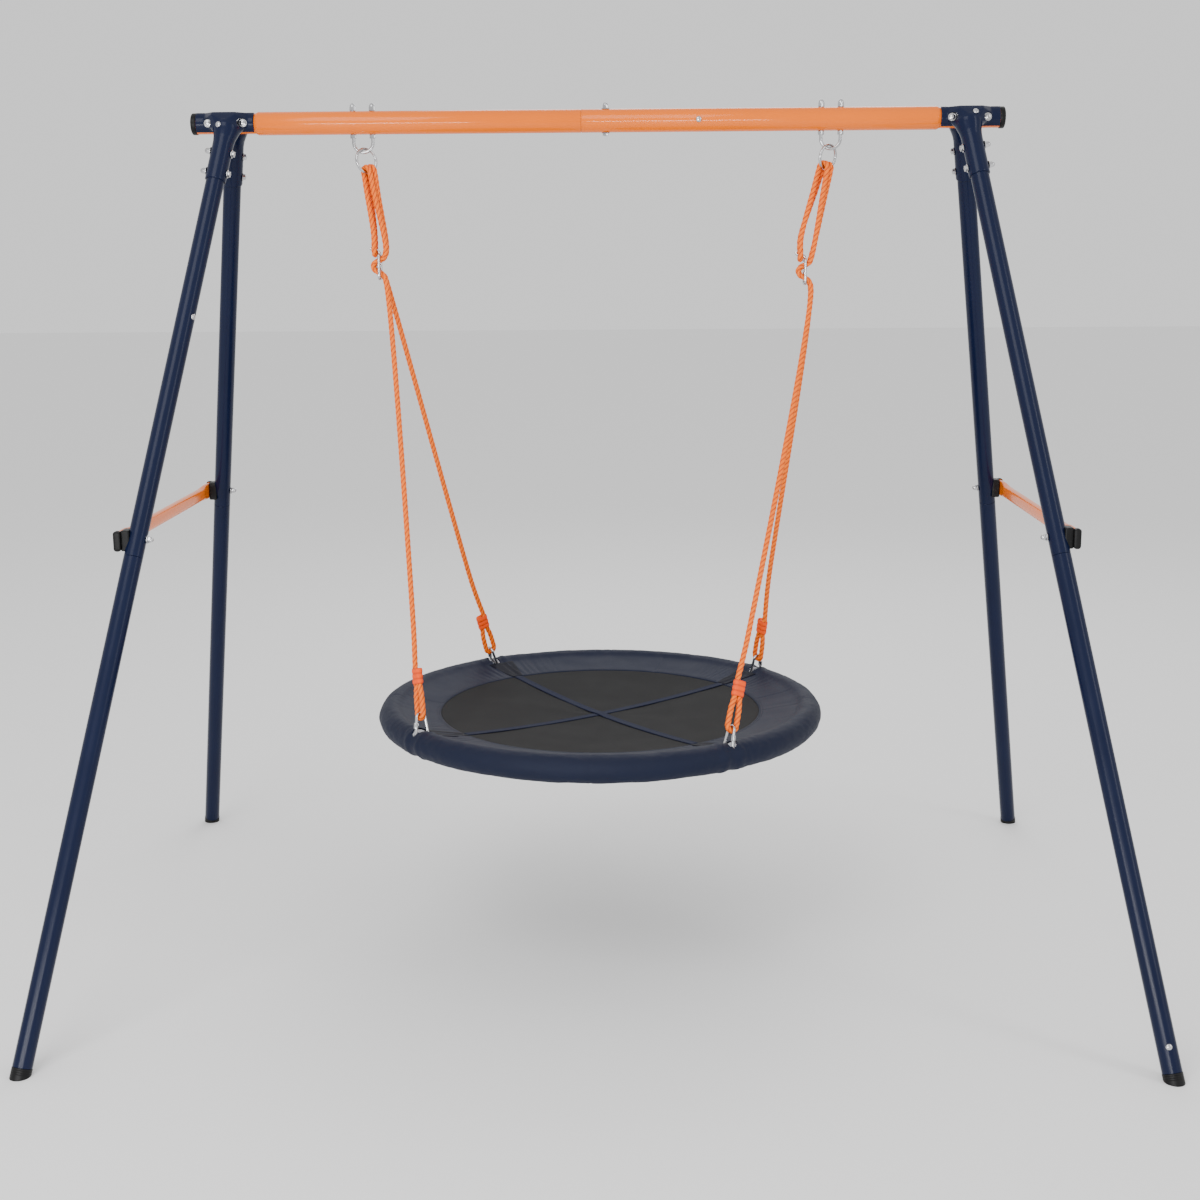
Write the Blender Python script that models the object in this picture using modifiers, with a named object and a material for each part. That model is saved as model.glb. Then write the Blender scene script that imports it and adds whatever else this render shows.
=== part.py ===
"""Nest swing: a round padded seat hung on two ropes from a tubular steel A-frame.

The crossbar runs along X, the front is -Y and the floor is Z = 0. All sizes are metres.
Every object in the swing's collection is one closed solid of the assembly. Solids that
only cut or join other solids are kept in the construction collection.
"""

import math

import bmesh
import bpy
from mathutils import Matrix, Vector

SWING_NAME = "nest_swing"
CONSTRUCTION_NAME = "construction"
GAP = 0.0003                      # clearance between touching pieces

# Frame: a two-piece crossbar on four splayed legs
BAR_HEIGHT = 1.79                 # crossbar axis above the floor
BAR_RADIUS = 0.024
BAR_END_RADIUS = 0.021            # swaged ends that the brackets grip
BAR_WALL = 0.0015
BAR_SWAGE_X = 0.7105              # where the swaged end begins
BAR_END_X = 0.8455                # open end of the tube
BAR_SEAM_X = -0.031               # left tube butts against the right one here
BAR_SPIGOT_LENGTH = 0.085
CAP_FACE_X = 0.852

LEG_RADIUS = 0.019
LEG_WALL = 0.0015
LEG_TOP = Vector((0.773, 0.037, 1.77))     # a point high on a leg's axis, front-back mirrored
LEG_FOOT = Vector((1.083, 0.753, 0.0))     # where that axis meets the floor
LEG_JOINT_HEIGHT = 0.930
LEG_SPIGOT_LENGTH = 0.085
LEG_START = 0.0215                # leg's open top, measured down from the bar's level
FOOT_CUT = 0.016                  # leg's open bottom, measured up from the floor along the leg

BRACKET_X = (0.7175, 0.840)
BRACKET_WALL = 0.0027
BRACKET_REACH_Y = 0.0120          # the saddle stops this far in front of the bar's axis
BRACKET_TILT = math.radians(10.0) # its edge leans, to cover the bar's top and bare its underside
SLEEVE_LENGTH = 0.142
BRACKET_BOLT_X = {"inner": 0.739, "outer": 0.8125}
LEG_BOLT_HEIGHTS = (1.7285, 1.6875)

BRACE_HEIGHT = 0.963
BRACE_MIDDLE = (0.021, 0.028)     # thickness and height of the tube
BRACE_END = (0.010, 0.036)        # thickness and height of its flattened ends
BRACE_OVERHANG = 0.022
BRACE_WALL = 0.0015
BRACE_TAPER = 0.060
SADDLE_SIZE = (0.018, 0.034, 0.042)
SADDLE_STANDOFF = 0.029           # leg axis to the saddle's outer face

BOLT_RADIUS = 0.0038
BOLT_HOLE_RADIUS = 0.0044

# Hangers: U-bolt, ring, doubled rope and adjuster
HANGER_X = 0.491
U_LEG_SPACING = 0.0405
U_WIRE = 0.0035
U_NUT_RADIUS = 0.0073
U_BOTTOM_HEIGHT = 1.7295          # centre of the wire at the bottom of the U
RING_RADIUS = 0.025
RING_WIRE = 0.003
RING_TWIST = math.radians(46.0)   # ring turned about Z, so that it clears the U
RING_LEAN = math.radians(12.0)    # ring pulled inward by the rope
RING_GAP = 0.0011
RING_ROPE_GAP = 0.0021            # slack of the rope round the ring, for the seat's own tilt

ROPE_RADIUS = 0.006
ROPE_PITCH = 0.0123               # spacing of two strands that lie side by side
ROPE_GAP = 0.0011
ADJUSTER_PLACE = {-1: (-0.464, 1.493), 1: (0.4415, 1.477)}    # X and height of each one's middle
ADJUSTER_WIDTH = 0.0382
ADJUSTER_LENGTH = 0.058
ADJUSTER_BAR = 0.006
ADJUSTER_THICKNESS = 0.005

# Seat: steel hoop in foam, under a sewn cover with a mat
SEAT_RADIUS = 0.461
SEAT_HEIGHT = 0.517
SEAT_YAW = math.radians(-8.5)
ATTACH_ANGLE = math.radians(46.5) # seat's attachments, from the X axis
HOOP_WIRE = 0.0125
FOAM_INNER = 0.0129
FOAM_OUTER = 0.0262
COVER_INNER = 0.0266
COVER_OUTER = 0.0290
COVER_EDGE_RADIUS = 0.3545
COVER_EDGE_THICKNESS = 0.004
MAT_THICKNESS = 0.003
STRAP_WIDTH = 0.020
STRAP_THICKNESS = 0.002
LINK_RADIUS = 0.0176             # at the hoop
LINK_TOP_RADIUS = 0.0104          # at the rope
LINK_LENGTH = 0.046
LINK_WIRE = 0.003
EYE_HALF_WIDTH = 0.011
WHIPPING_START = 0.125            # distances from the hoop's centre, up the rope
WHIPPING_LENGTH = 0.033
WHIPPING_WALL = 0.0018
FINGER_RADIUS = 0.0028
FINGER_X = -0.0098                # the rope's bight on the finger, from the adjuster's middle
FINGER_HEIGHT = 0.0345

WASHER = (0.0085, 0.0015)         # radius and thickness
HEX_RADIUS = 0.0068
HEAD_HEIGHT = 0.0050
NUT_HEIGHT = 0.0060
JOINT_BOLT_X = 0.020

SIDES = {"left": -1, "right": 1}
ENDS = {"front": -1, "rear": 1}
TUBE_STEPS = 16
LEG_STEPS = 12
SEAT_STEPS = 40
HOOP_SIDES = 8
FOAM_SIDES = 10
WIRE_RESOLUTION = 2
MERGE = 0.00001


def clear_scene():
    """Remove whatever objects the file opened with."""
    for item in list(bpy.data.objects):
        bpy.data.objects.remove(item, do_unlink=True)


def new_collection(name):
    """A new collection linked to the scene."""
    collection = bpy.data.collections.new(name)
    bpy.context.scene.collection.children.link(collection)
    return collection


def new_material(name, colour, roughness, metallic):
    """A Principled material with one colour."""
    material = bpy.data.materials.new(name)
    material.use_nodes = True
    shader = material.node_tree.nodes["Principled BSDF"]
    shader.inputs["Base Color"].default_value = (*colour, 1.0)
    shader.inputs["Roughness"].default_value = roughness
    shader.inputs["Metallic"].default_value = metallic
    return material


def add_object(name, mesh, matrix=None, material=None):
    """A named solid of the swing, or a construction solid when it has no material."""
    item = bpy.data.objects.new(name, mesh)
    if matrix is not None:
        item.matrix_world = matrix
    if material is None:
        item.hide_render = True
        item.display_type = "WIRE"
        construction.objects.link(item)
        return item
    mesh.materials.append(material)
    mesh.shade_smooth()
    mesh.set_sharp_from_angle(angle=math.radians(35.0))
    swing.objects.link(item)
    return item


def finish_mesh(bm, name):
    """A mesh datablock made from a bmesh, which is freed."""
    mesh = bpy.data.meshes.new(name)
    bm.to_mesh(mesh)
    bm.free()
    return mesh


def frame_along(origin, direction, side=Vector((1.0, 0.0, 0.0))):
    """A matrix whose Z runs along direction and whose X lies close to side."""
    z_axis = direction.normalized()
    if abs(z_axis.dot(side.normalized())) > 0.9:
        side = Vector((side.z, side.x, side.y))
    x_axis = (side - z_axis * side.dot(z_axis)).normalized()
    y_axis = z_axis.cross(x_axis)
    rotation = Matrix((x_axis, y_axis, z_axis)).transposed().to_4x4()
    return Matrix.Translation(origin) @ rotation


def turned(name, profile, matrix, steps, material=None, closed=True):
    """A profile of (radius, height) points turned about the local Z axis."""
    mesh = bpy.data.meshes.new(name)
    points = [(radius, 0.0, height) for radius, height in profile]
    edges = [(index, index + 1) for index in range(len(points) - 1)]
    if closed:
        edges.append((len(points) - 1, 0))
    mesh.from_pydata(points, edges, [])
    item = add_object(name, mesh, matrix, material)
    screw = item.modifiers.new("turn", "SCREW")
    screw.steps = steps
    screw.render_steps = steps
    screw.use_merge_vertices = True
    screw.merge_threshold = MERGE
    screw.use_smooth_shade = True
    return item


def cylinder(name, start, end, radius, segments, material=None, side=Vector((1.0, 0.0, 0.0))):
    """A round or six-sided bar between two points."""
    bm = bmesh.new()
    axis = end - start
    bmesh.ops.create_cone(bm, cap_ends=True, segments=segments, radius1=radius, radius2=radius,
                          depth=axis.length)
    return add_object(name, finish_mesh(bm, name), frame_along((start + end) / 2, axis, side), material)


def box(name, size, matrix, material=None):
    """A box of the given full sizes, centred on the matrix."""
    bm = bmesh.new()
    bmesh.ops.create_cube(bm, size=1.0)
    bmesh.ops.scale(bm, vec=Vector(size), verts=bm.verts)
    return add_object(name, finish_mesh(bm, name), matrix, material)


def wire(name, points, radius, material=None, cyclic=False, matrix=None):
    """A bent round wire or rope as a closed mesh."""
    curve = bpy.data.curves.new(name, "CURVE")
    curve.dimensions = "3D"
    curve.bevel_depth = radius
    curve.bevel_resolution = WIRE_RESOLUTION
    curve.use_fill_caps = not cyclic
    spline = curve.splines.new("POLY")
    spline.points.add(len(points) - 1)
    spline.use_cyclic_u = cyclic
    for target, point in zip(spline.points, points):
        target.co = (*point, 1.0)
    return mesh_from_curve(name, curve, material, matrix)


def flat_outline(name, outlines, thickness, matrix, material=None):
    """A flat plate from closed outlines; each outline after the first is a hole."""
    curve = bpy.data.curves.new(name, "CURVE")
    curve.dimensions = "2D"
    curve.fill_mode = "BOTH"
    curve.extrude = thickness / 2
    for outline in outlines:
        spline = curve.splines.new("POLY")
        spline.points.add(len(outline) - 1)
        spline.use_cyclic_u = True
        for target, point in zip(spline.points, outline):
            target.co = (point[0], point[1], 0.0, 1.0)
    return mesh_from_curve(name, curve, material, matrix)


def mesh_from_curve(name, curve, material, matrix):
    """Turn a curve into a welded mesh object and drop the curve."""
    source = bpy.data.objects.new(name + "_curve", curve)
    bpy.context.scene.collection.objects.link(source)
    evaluated = source.evaluated_get(bpy.context.evaluated_depsgraph_get())
    mesh = bpy.data.meshes.new_from_object(evaluated)
    bpy.data.objects.remove(source, do_unlink=True)
    bm = bmesh.new()
    bm.from_mesh(mesh)
    bmesh.ops.remove_doubles(bm, verts=bm.verts, dist=MERGE)
    bmesh.ops.recalc_face_normals(bm, faces=bm.faces)
    bm.to_mesh(mesh)
    bm.free()
    mesh.materials.clear()
    return add_object(name, mesh, matrix, material)


def combine(item, operation, tools):
    """Join tools to a solid, or cut them from it."""
    for tool in tools:
        boolean = item.modifiers.new(tool.name, "BOOLEAN")
        boolean.operation = operation
        boolean.object = tool
    return item


def cut(item, *tools):
    """Cut construction solids from a solid."""
    return combine(item, "DIFFERENCE", tools)


def fuse(item, *tools):
    """Join construction solids to a solid."""
    return combine(item, "UNION", tools)


def stadium(length, width, corner_steps=5):
    """Closed outline with half-round ends, length along Y."""
    radius = width / 2
    straight = length / 2 - radius
    points = []
    for end in (1, -1):
        for index in range(corner_steps + 1):
            angle = math.pi * index / corner_steps + (0.0 if end == 1 else math.pi)
            points.append((radius * math.cos(angle), end * straight + radius * math.sin(angle)))
    return points


def smooth_path(controls):
    """Points on a Catmull-Rom curve through the controls, closer together where it bends."""
    points = []
    last = len(controls) - 1
    for index in range(last):
        before = controls[max(index - 1, 0)]
        start = controls[index]
        end = controls[index + 1]
        after = controls[min(index + 2, last)]
        turn = (end - before).angle(after - start, 0.0)
        chord = (end - start).length
        count = max(1, round(turn / math.radians(34.0)), round(chord / 0.11))
        for step in range(count):
            points.append(catmull_rom(before, start, end, after, step / count))
    points.append(controls[last])
    return points


def catmull_rom(before, start, end, after, amount):
    """One point of a centripetal Catmull-Rom span between start and end."""
    knots = [0.0]
    for first, second in ((before, start), (start, end), (end, after)):
        knots.append(knots[-1] + max((second - first).length, 0.001) ** 0.5)
    value = knots[1] + (knots[2] - knots[1]) * amount

    def between(first, second, low, high):
        return first.lerp(second, (value - knots[low]) / (knots[high] - knots[low]))

    opening = between(between(before, start, 0, 1), between(start, end, 1, 2), 0, 2)
    closing = between(between(start, end, 1, 2), between(end, after, 2, 3), 1, 3)
    return between(opening, closing, 1, 2)


def bolt(name, start, end, head_side):
    """A zinc bolt whose hex head bears at start and whose acorn nut bears at end."""
    axis = (end - start).normalized()
    item = cylinder(name, start - axis * 0.002, end + axis * 0.006, BOLT_RADIUS, 8, zinc_steel)
    tools = []
    for place, sense in ((start, -1), (end, 1)):
        inner = place + axis * sense * GAP
        outer = inner + axis * sense * WASHER[1]
        tools.append(cylinder(name + "_washer", inner, outer, WASHER[0], 8))
    reach = axis * (GAP + WASHER[1] * 0.8)
    head_start = start - reach
    nut_start = end + reach
    tools.append(cylinder(name + "_head", head_start, head_start - axis * HEAD_HEIGHT, HEX_RADIUS, 6,
                          side=head_side))
    tools.append(cylinder(name + "_nut", nut_start, nut_start + axis * NUT_HEIGHT, HEX_RADIUS, 6,
                          side=head_side))
    dome = [(0.0, 0.0125), (0.0040, 0.0107), (0.0055, 0.0050), (0.0, 0.0050)]
    tools.append(turned(name + "_dome", dome, frame_along(nut_start, axis), 6, closed=False))
    return fuse(item, *tools)


def leg_axis(side, end):
    """Bar-level point and unit direction, down the leg, of one leg's axis."""
    top = Vector((side * LEG_TOP.x, end * LEG_TOP.y, LEG_TOP.z))
    foot = Vector((side * LEG_FOOT.x, end * LEG_FOOT.y, LEG_FOOT.z))
    direction = (foot - top).normalized()
    across = Vector((0.0, direction.y, direction.z))
    offset = Vector((0.0, top.y, top.z - BAR_HEIGHT))
    return top - direction * (offset.dot(across) / across.length_squared), direction


def leg_point(side, end, height):
    """Point of a leg's axis at a height."""
    origin, direction = leg_axis(side, end)
    return origin + direction * ((height - origin.z) / direction.z)


def leg_outward(side, end):
    """Unit direction square to a leg's axis, pointing away from the swing's middle."""
    direction = leg_axis(side, end)[1]
    outward = Vector((side, 0.0, 0.0))
    return (outward - direction * outward.dot(direction)).normalized()


def make_crossbar():
    """The two crossbar tubes, with a spigot joint near the middle and swaged ends."""
    inner = BAR_RADIUS - BAR_WALL
    end_inner = BAR_END_RADIUS - BAR_WALL
    taper = 0.006
    spigot = inner - GAP
    right_profile = [
        (BAR_END_RADIUS, BAR_END_X), (BAR_END_RADIUS, BAR_SWAGE_X + taper), (BAR_RADIUS, BAR_SWAGE_X),
        (BAR_RADIUS, BAR_SEAM_X + GAP), (inner, BAR_SEAM_X + GAP), (inner, BAR_SWAGE_X),
        (end_inner, BAR_SWAGE_X + taper), (end_inner, BAR_END_X),
    ]
    left_profile = [
        (BAR_END_RADIUS, BAR_END_X), (BAR_END_RADIUS, BAR_SWAGE_X + taper), (BAR_RADIUS, BAR_SWAGE_X),
        (BAR_RADIUS, -BAR_SEAM_X), (spigot, -BAR_SEAM_X), (spigot, -BAR_SEAM_X - BAR_SPIGOT_LENGTH),
        (spigot - BAR_WALL, -BAR_SEAM_X - BAR_SPIGOT_LENGTH), (spigot - BAR_WALL, -BAR_SEAM_X),
        (inner, -BAR_SEAM_X + BAR_WALL), (inner, BAR_SWAGE_X), (end_inner, BAR_SWAGE_X + taper),
        (end_inner, BAR_END_X),
    ]
    up = Vector((0.0, 0.0, 1.0))
    axis_point = Vector((0.0, 0.0, BAR_HEIGHT))
    joint_drill = drill("joint_drill", Vector((JOINT_BOLT_X, 0.0, BAR_HEIGHT)), up)
    for side_name, profile in (("left", left_profile), ("right", right_profile)):
        side = SIDES[side_name]
        matrix = frame_along(axis_point, Vector((side, 0.0, 0.0)), up)
        bar = turned(f"crossbar_{side_name}", profile, matrix, TUBE_STEPS, orange_steel)
        tools = [joint_drill]
        for place, x in BRACKET_BOLT_X.items():
            centre = Vector((side * x, 0.0, BAR_HEIGHT))
            tools.append(drill(f"bracket_drill_{place}_{side_name}", centre, Vector((0.0, 1.0, 0.0))))
        for offset in (-U_LEG_SPACING / 2, U_LEG_SPACING / 2):
            centre = Vector((side * HANGER_X + offset, 0.0, BAR_HEIGHT))
            tools.append(drill(f"hanger_drill_{side_name}", centre, up))
        cut(bar, *tools)
        plug_radius = end_inner - GAP
        cap_radius = BAR_END_RADIUS + 0.001
        cap = [(0.0, CAP_FACE_X), (cap_radius - 0.002, CAP_FACE_X), (cap_radius, CAP_FACE_X - 0.002),
               (cap_radius, BAR_END_X + GAP), (plug_radius, BAR_END_X + GAP),
               (plug_radius, BAR_END_X - 0.012), (0.0, BAR_END_X - 0.012)]
        turned(f"crossbar_cap_{side_name}", cap, matrix, TUBE_STEPS, black_plastic, closed=False)
    top = Vector((JOINT_BOLT_X, 0.0, BAR_HEIGHT + BAR_RADIUS))
    bottom = Vector((JOINT_BOLT_X, 0.0, BAR_HEIGHT - BAR_RADIUS))
    bolt("crossbar_joint_bolt", bottom, top, Vector((1.0, 0.0, 0.0)))


def drill(name, centre, axis):
    """A construction cylinder that drills one bolt hole right through."""
    reach = axis.normalized() * 0.045
    off_facet = Vector((0.25, 0.2, 1.0))
    return cylinder(name, centre - reach, centre + reach, BOLT_HOLE_RADIUS, 8, side=off_facet)


def make_brackets():
    """The four brackets that grip the crossbar's ends and sleeve the tops of the legs."""
    sleeve = LEG_RADIUS + BRACKET_WALL
    body = [(0.0, -0.009), (0.012, -0.007), (0.022, 0.003), (0.0285, 0.015), (0.0262, 0.027),
            (0.0235, 0.038), (sleeve, 0.050), (sleeve, SLEEVE_LENGTH), (0.0, SLEEVE_LENGTH)]
    bar_clearance = BAR_END_RADIUS + 0.0005
    bar_start = Vector((0.6, 0.0, BAR_HEIGHT))
    bar_end = Vector((0.95, 0.0, BAR_HEIGHT))
    saddle_start = Vector((BRACKET_X[0], 0.0, BAR_HEIGHT))
    saddle_end = Vector((BRACKET_X[1], 0.0, BAR_HEIGHT))
    up = Vector((0.0, 0.0, 1.0))
    for side_name, side in SIDES.items():
        mirror = Matrix.Diagonal((side, 1.0, 1.0, 1.0))
        bar_tool = cylinder(f"bar_clearance_{side_name}", mirror @ bar_start, mirror @ bar_end,
                            bar_clearance, TUBE_STEPS, side=up)
        for end_name, end in ENDS.items():
            key = f"{end_name}_{side_name}"
            origin, direction = leg_axis(side, end)
            leg_frame = frame_along(origin, direction)
            bracket = cylinder(f"bracket_{key}", mirror @ saddle_start, mirror @ saddle_end,
                               bar_clearance + BRACKET_WALL, TUBE_STEPS, navy_steel, up)
            far_half = box(f"saddle_trim_{key}", (0.3, 0.1, 0.1), Matrix.Translation(
                (side * 0.78, 0.0, BAR_HEIGHT)) @ Matrix.Rotation(end * BRACKET_TILT, 4, "X")
                @ Matrix.Translation((0.0, end * (BRACKET_REACH_Y - 0.05), 0.0)))
            cut(bracket, far_half)
            reversed_body = [(radius, height) for radius, height in reversed(body)]
            neck = turned(f"bracket_neck_{key}", reversed_body, leg_frame, LEG_STEPS, closed=False)
            fuse(bracket, neck)
            bore_start = origin + direction * (LEG_START - GAP)
            bore = cylinder(f"leg_bore_{key}", bore_start, origin + direction * 0.2,
                            LEG_RADIUS + 0.0004, LEG_STEPS)
            tools = [bar_tool, bore]
            for place, x in BRACKET_BOLT_X.items():
                centre = Vector((side * x, end * 0.02, BAR_HEIGHT))
                tools.append(drill(f"bracket_hole_{place}_{key}", centre, Vector((0.0, 1.0, 0.0))))
                face = Vector((side * x, end * (bar_clearance + BRACKET_WALL), BAR_HEIGHT))
                reach = Vector((0.0, end * 0.03, 0.0))
                tools.append(cylinder(f"bracket_spot_{place}_{key}", face, face + reach, 0.0095, 12))
            tools.extend(leg_drills(side, end, key))
            cut(bracket, *tools)
        for place, x in BRACKET_BOLT_X.items():
            reach = Vector((0.0, bar_clearance + BRACKET_WALL, 0.0))
            centre = Vector((side * x, 0.0, BAR_HEIGHT))
            bolt(f"bracket_bolt_{place}_{side_name}", centre - reach, centre + reach, up)


def leg_drills(side, end, key):
    """Construction cylinders for the two bolts that cross the top of one leg."""
    return [drill(f"leg_drill_{index}_{key}", leg_point(side, end, height), leg_outward(side, end))
            for index, height in enumerate(LEG_BOLT_HEIGHTS)]


def make_legs():
    """Four legs, each a plain upper tube over the spigot of a lower tube, with a foot plug."""
    inner = LEG_RADIUS - LEG_WALL
    spigot = inner - GAP
    for side_name, side in SIDES.items():
        for end_name, end in ENDS.items():
            key = f"{end_name}_{side_name}"
            origin, direction = leg_axis(side, end)
            matrix = frame_along(origin, direction)
            joint = (LEG_JOINT_HEIGHT - origin.z) / direction.z
            floor = -origin.z / direction.z
            base = floor - FOOT_CUT
            upper = tube_profile(LEG_RADIUS, inner, LEG_START, joint - GAP)
            lower = [(inner, joint + LEG_WALL), (spigot - LEG_WALL, joint),
                     (spigot - LEG_WALL, joint - LEG_SPIGOT_LENGTH), (spigot, joint - LEG_SPIGOT_LENGTH),
                     (spigot, joint), (LEG_RADIUS, joint), (LEG_RADIUS, base), (inner, base)]
            upper_leg = turned(f"leg_upper_{key}", upper, matrix, LEG_STEPS, navy_steel)
            lower_leg = turned(f"leg_lower_{key}", list(reversed(lower)), matrix, LEG_STEPS, navy_steel)
            brace_drill = drill(f"brace_drill_{key}", leg_point(side, end, BRACE_HEIGHT),
                                Vector((1.0, 0.0, 0.0)))
            cut(upper_leg, brace_drill, *leg_drills(side, end, key))
            cut(lower_leg, brace_drill)
            make_foot(key, matrix, base, spigot)
            make_leg_bolt(key, side, end)


def tube_profile(outer, inner, start, end):
    """Profile of a plain tube, its outer side running downward."""
    return [(outer, end), (outer, start), (inner, start), (inner, end)]


def make_foot(key, matrix, base, plug_radius):
    """A plug in the bottom of a leg, with a sole that is flat on the floor."""
    reach = 0.040
    rim = LEG_RADIUS + 0.0006
    profile = [(0.0, base + reach), (rim, base + reach), (rim, base + GAP), (plug_radius, base + GAP),
               (plug_radius, base - 0.022), (0.0, base - 0.022)]
    foot = turned(f"foot_cap_{key}", profile, matrix, LEG_STEPS, black_plastic, closed=False)
    sole = matrix @ Vector((0.0, 0.0, base))
    floor_block = box(f"floor_{key}", (0.2, 0.2, 0.1), Matrix.Translation((sole.x, sole.y, -0.05)))
    cut(foot, floor_block)


def make_leg_bolt(key, side, end):
    """The upper bolt across a leg's top: head inside the frame, acorn nut outside."""
    centre = leg_point(side, end, LEG_BOLT_HEIGHTS[0])
    reach = leg_outward(side, end) * (LEG_RADIUS + BRACKET_WALL + 0.0001)
    bolt(f"leg_bolt_{key}", centre - reach, centre + reach, Vector((0.0, 0.0, 1.0)))


def brace_section(thickness, height, y):
    """Eight corners of a rounded rectangle across the brace."""
    half_x = thickness / 2
    half_z = height / 2
    corner = min(half_x, half_z) * 0.55
    outline = [(half_x, half_z - corner), (half_x - corner, half_z), (corner - half_x, half_z),
               (-half_x, half_z - corner), (-half_x, corner - half_z), (corner - half_x, -half_z),
               (half_x - corner, -half_z), (half_x, corner - half_z)]
    return [Vector((x, y, z)) for x, z in outline]


def make_braces():
    """Side braces with flattened ends, their saddles and bolts."""
    anchor = leg_point(1, 1, BRACE_HEIGHT)
    end_y = anchor.y + BRACE_OVERHANG
    for side_name, side in SIDES.items():
        face_x = side * (anchor.x + SADDLE_STANDOFF + GAP)
        centre_x = face_x + side * BRACE_END[0] / 2
        matrix = Matrix.Translation((centre_x, 0.0, BRACE_HEIGHT))
        brace = add_object(f"side_brace_{side_name}", brace_mesh(end_y), matrix, orange_steel)
        drills = []
        for end_name, end in ENDS.items():
            key = f"{end_name}_{side_name}"
            axis_point = leg_point(side, end, BRACE_HEIGHT)
            hole_centre = Vector((centre_x, axis_point.y, BRACE_HEIGHT))
            drills.append(drill(f"brace_end_drill_{key}", hole_centre, Vector((1.0, 0.0, 0.0))))
            make_saddle(key, side, end, axis_point, drills[-1])
            outer = Vector((face_x + side * BRACE_END[0], axis_point.y, BRACE_HEIGHT))
            inner = Vector((axis_point.x - side * (LEG_RADIUS + 0.0028), axis_point.y, BRACE_HEIGHT))
            bolt(f"brace_bolt_{key}", outer, inner, Vector((0.0, 0.0, 1.0)))
        cut(brace, *drills)


def brace_mesh(end_y):
    """A tube lofted from flattened ends to a fuller middle, open at both ends."""
    bm = bmesh.new()
    stations = [(-end_y, BRACE_END), (BRACE_TAPER - end_y, BRACE_END),
                (2 * BRACE_TAPER - end_y, BRACE_MIDDLE), (end_y - 2 * BRACE_TAPER, BRACE_MIDDLE),
                (end_y - BRACE_TAPER, BRACE_END), (end_y, BRACE_END)]
    skins = []
    for inset in (0.0, BRACE_WALL):
        rings = []
        for y, (thickness, height) in stations:
            section = brace_section(thickness - 2 * inset, height - 2 * inset, y)
            rings.append([bm.verts.new(point) for point in section])
        skins.append(rings)
        for first, second in zip(rings, rings[1:]):
            bridge(bm, first, second)
    for index in (0, -1):
        bridge(bm, skins[0][index], skins[1][index])
    bmesh.ops.recalc_face_normals(bm, faces=bm.faces)
    return finish_mesh(bm, "side_brace")


def bridge(bm, first, second):
    """Join two rings of equal count with quads."""
    count = len(first)
    for index in range(count):
        after = (index + 1) % count
        bm.faces.new((first[index], first[after], second[after], second[index]))


def make_saddle(key, side, end, axis_point, brace_drill):
    """The plastic saddle between a leg and the flattened end of a brace."""
    centre = axis_point + Vector((side * (SADDLE_STANDOFF - SADDLE_SIZE[0] / 2), 0.0, 0.0))
    saddle = box(f"brace_saddle_{key}", SADDLE_SIZE, Matrix.Translation(centre), black_plastic)
    direction = leg_axis(side, end)[1]
    reach = direction * 0.1
    leg_tool = cylinder(f"leg_clearance_{key}", axis_point - reach, axis_point + reach,
                        LEG_RADIUS + 0.0004, LEG_STEPS)
    bevel = saddle.modifiers.new("edges", "BEVEL")
    bevel.width = 0.003
    bevel.segments = 2
    cut(saddle, leg_tool, brace_drill)


def make_hangers():
    """U-bolts through the crossbar and the rings that swing on them."""
    for side_name, side in SIDES.items():
        centre_x = side * HANGER_X
        bend = U_LEG_SPACING / 2
        bend_height = U_BOTTOM_HEIGHT + bend
        top_height = BAR_HEIGHT + BAR_RADIUS + 0.010
        points = [Vector((centre_x - bend, 0.0, top_height))]
        for index in range(9):
            angle = math.pi + math.pi * index / 8
            points.append(Vector((centre_x + bend * math.cos(angle), 0.0,
                                  bend_height + bend * math.sin(angle))))
        points.append(Vector((centre_x + bend, 0.0, top_height)))
        u_bolt = wire(f"u_bolt_{side_name}", points, U_WIRE, zinc_steel)
        tools = []
        for sense in (-1, 1):
            x = centre_x + sense * bend
            lower_top = Vector((x, 0.0, BAR_HEIGHT - BAR_RADIUS - GAP))
            upper_base = Vector((x, 0.0, BAR_HEIGHT + BAR_RADIUS + GAP))
            low_nut = Vector((0.0, 0.0, -0.008))
            high_nut = Vector((0.0, 0.0, 0.0075))
            tools.append(cylinder(f"u_nut_low_{side_name}", lower_top + low_nut, lower_top, U_NUT_RADIUS, 6))
            tools.append(cylinder(f"u_nut_top_{side_name}", upper_base, upper_base + high_nut,
                                  U_NUT_RADIUS, 6))
            dome = [(0.0, 0.016), (0.0042, 0.0140), (0.0063, 0.007), (0.0, 0.007)]
            place = Matrix.Translation(upper_base)
            tools.append(turned(f"u_dome_{side_name}", dome, place, 8, closed=False))
        fuse(u_bolt, *tools)
        ring_centre = (ring_point(side, 0.0) + ring_point(side, math.pi)) / 2
        ring_points = [ring_point(side, 2 * math.pi * index / 18) - ring_centre for index in range(18)]
        wire(f"ring_{side_name}", ring_points, RING_WIRE, zinc_steel, cyclic=True,
             matrix=Matrix.Translation(ring_centre))


def ring_turn(side):
    """How a hanging ring is turned: twisted about Z, then pulled inward by the rope."""
    return Matrix.Rotation(side * RING_LEAN, 3, "Y") @ Matrix.Rotation(RING_TWIST, 3, "Z")


def ring_point(side, angle):
    """Point on a ring's centreline; angle 90 degrees is its top."""
    top = Vector((side * HANGER_X, 0.0, U_BOTTOM_HEIGHT + U_WIRE + RING_WIRE + RING_GAP))
    offset = Vector((RING_RADIUS * math.cos(angle), 0.0, RING_RADIUS * (math.sin(angle) - 1.0)))
    return top + ring_turn(side) @ offset


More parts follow.
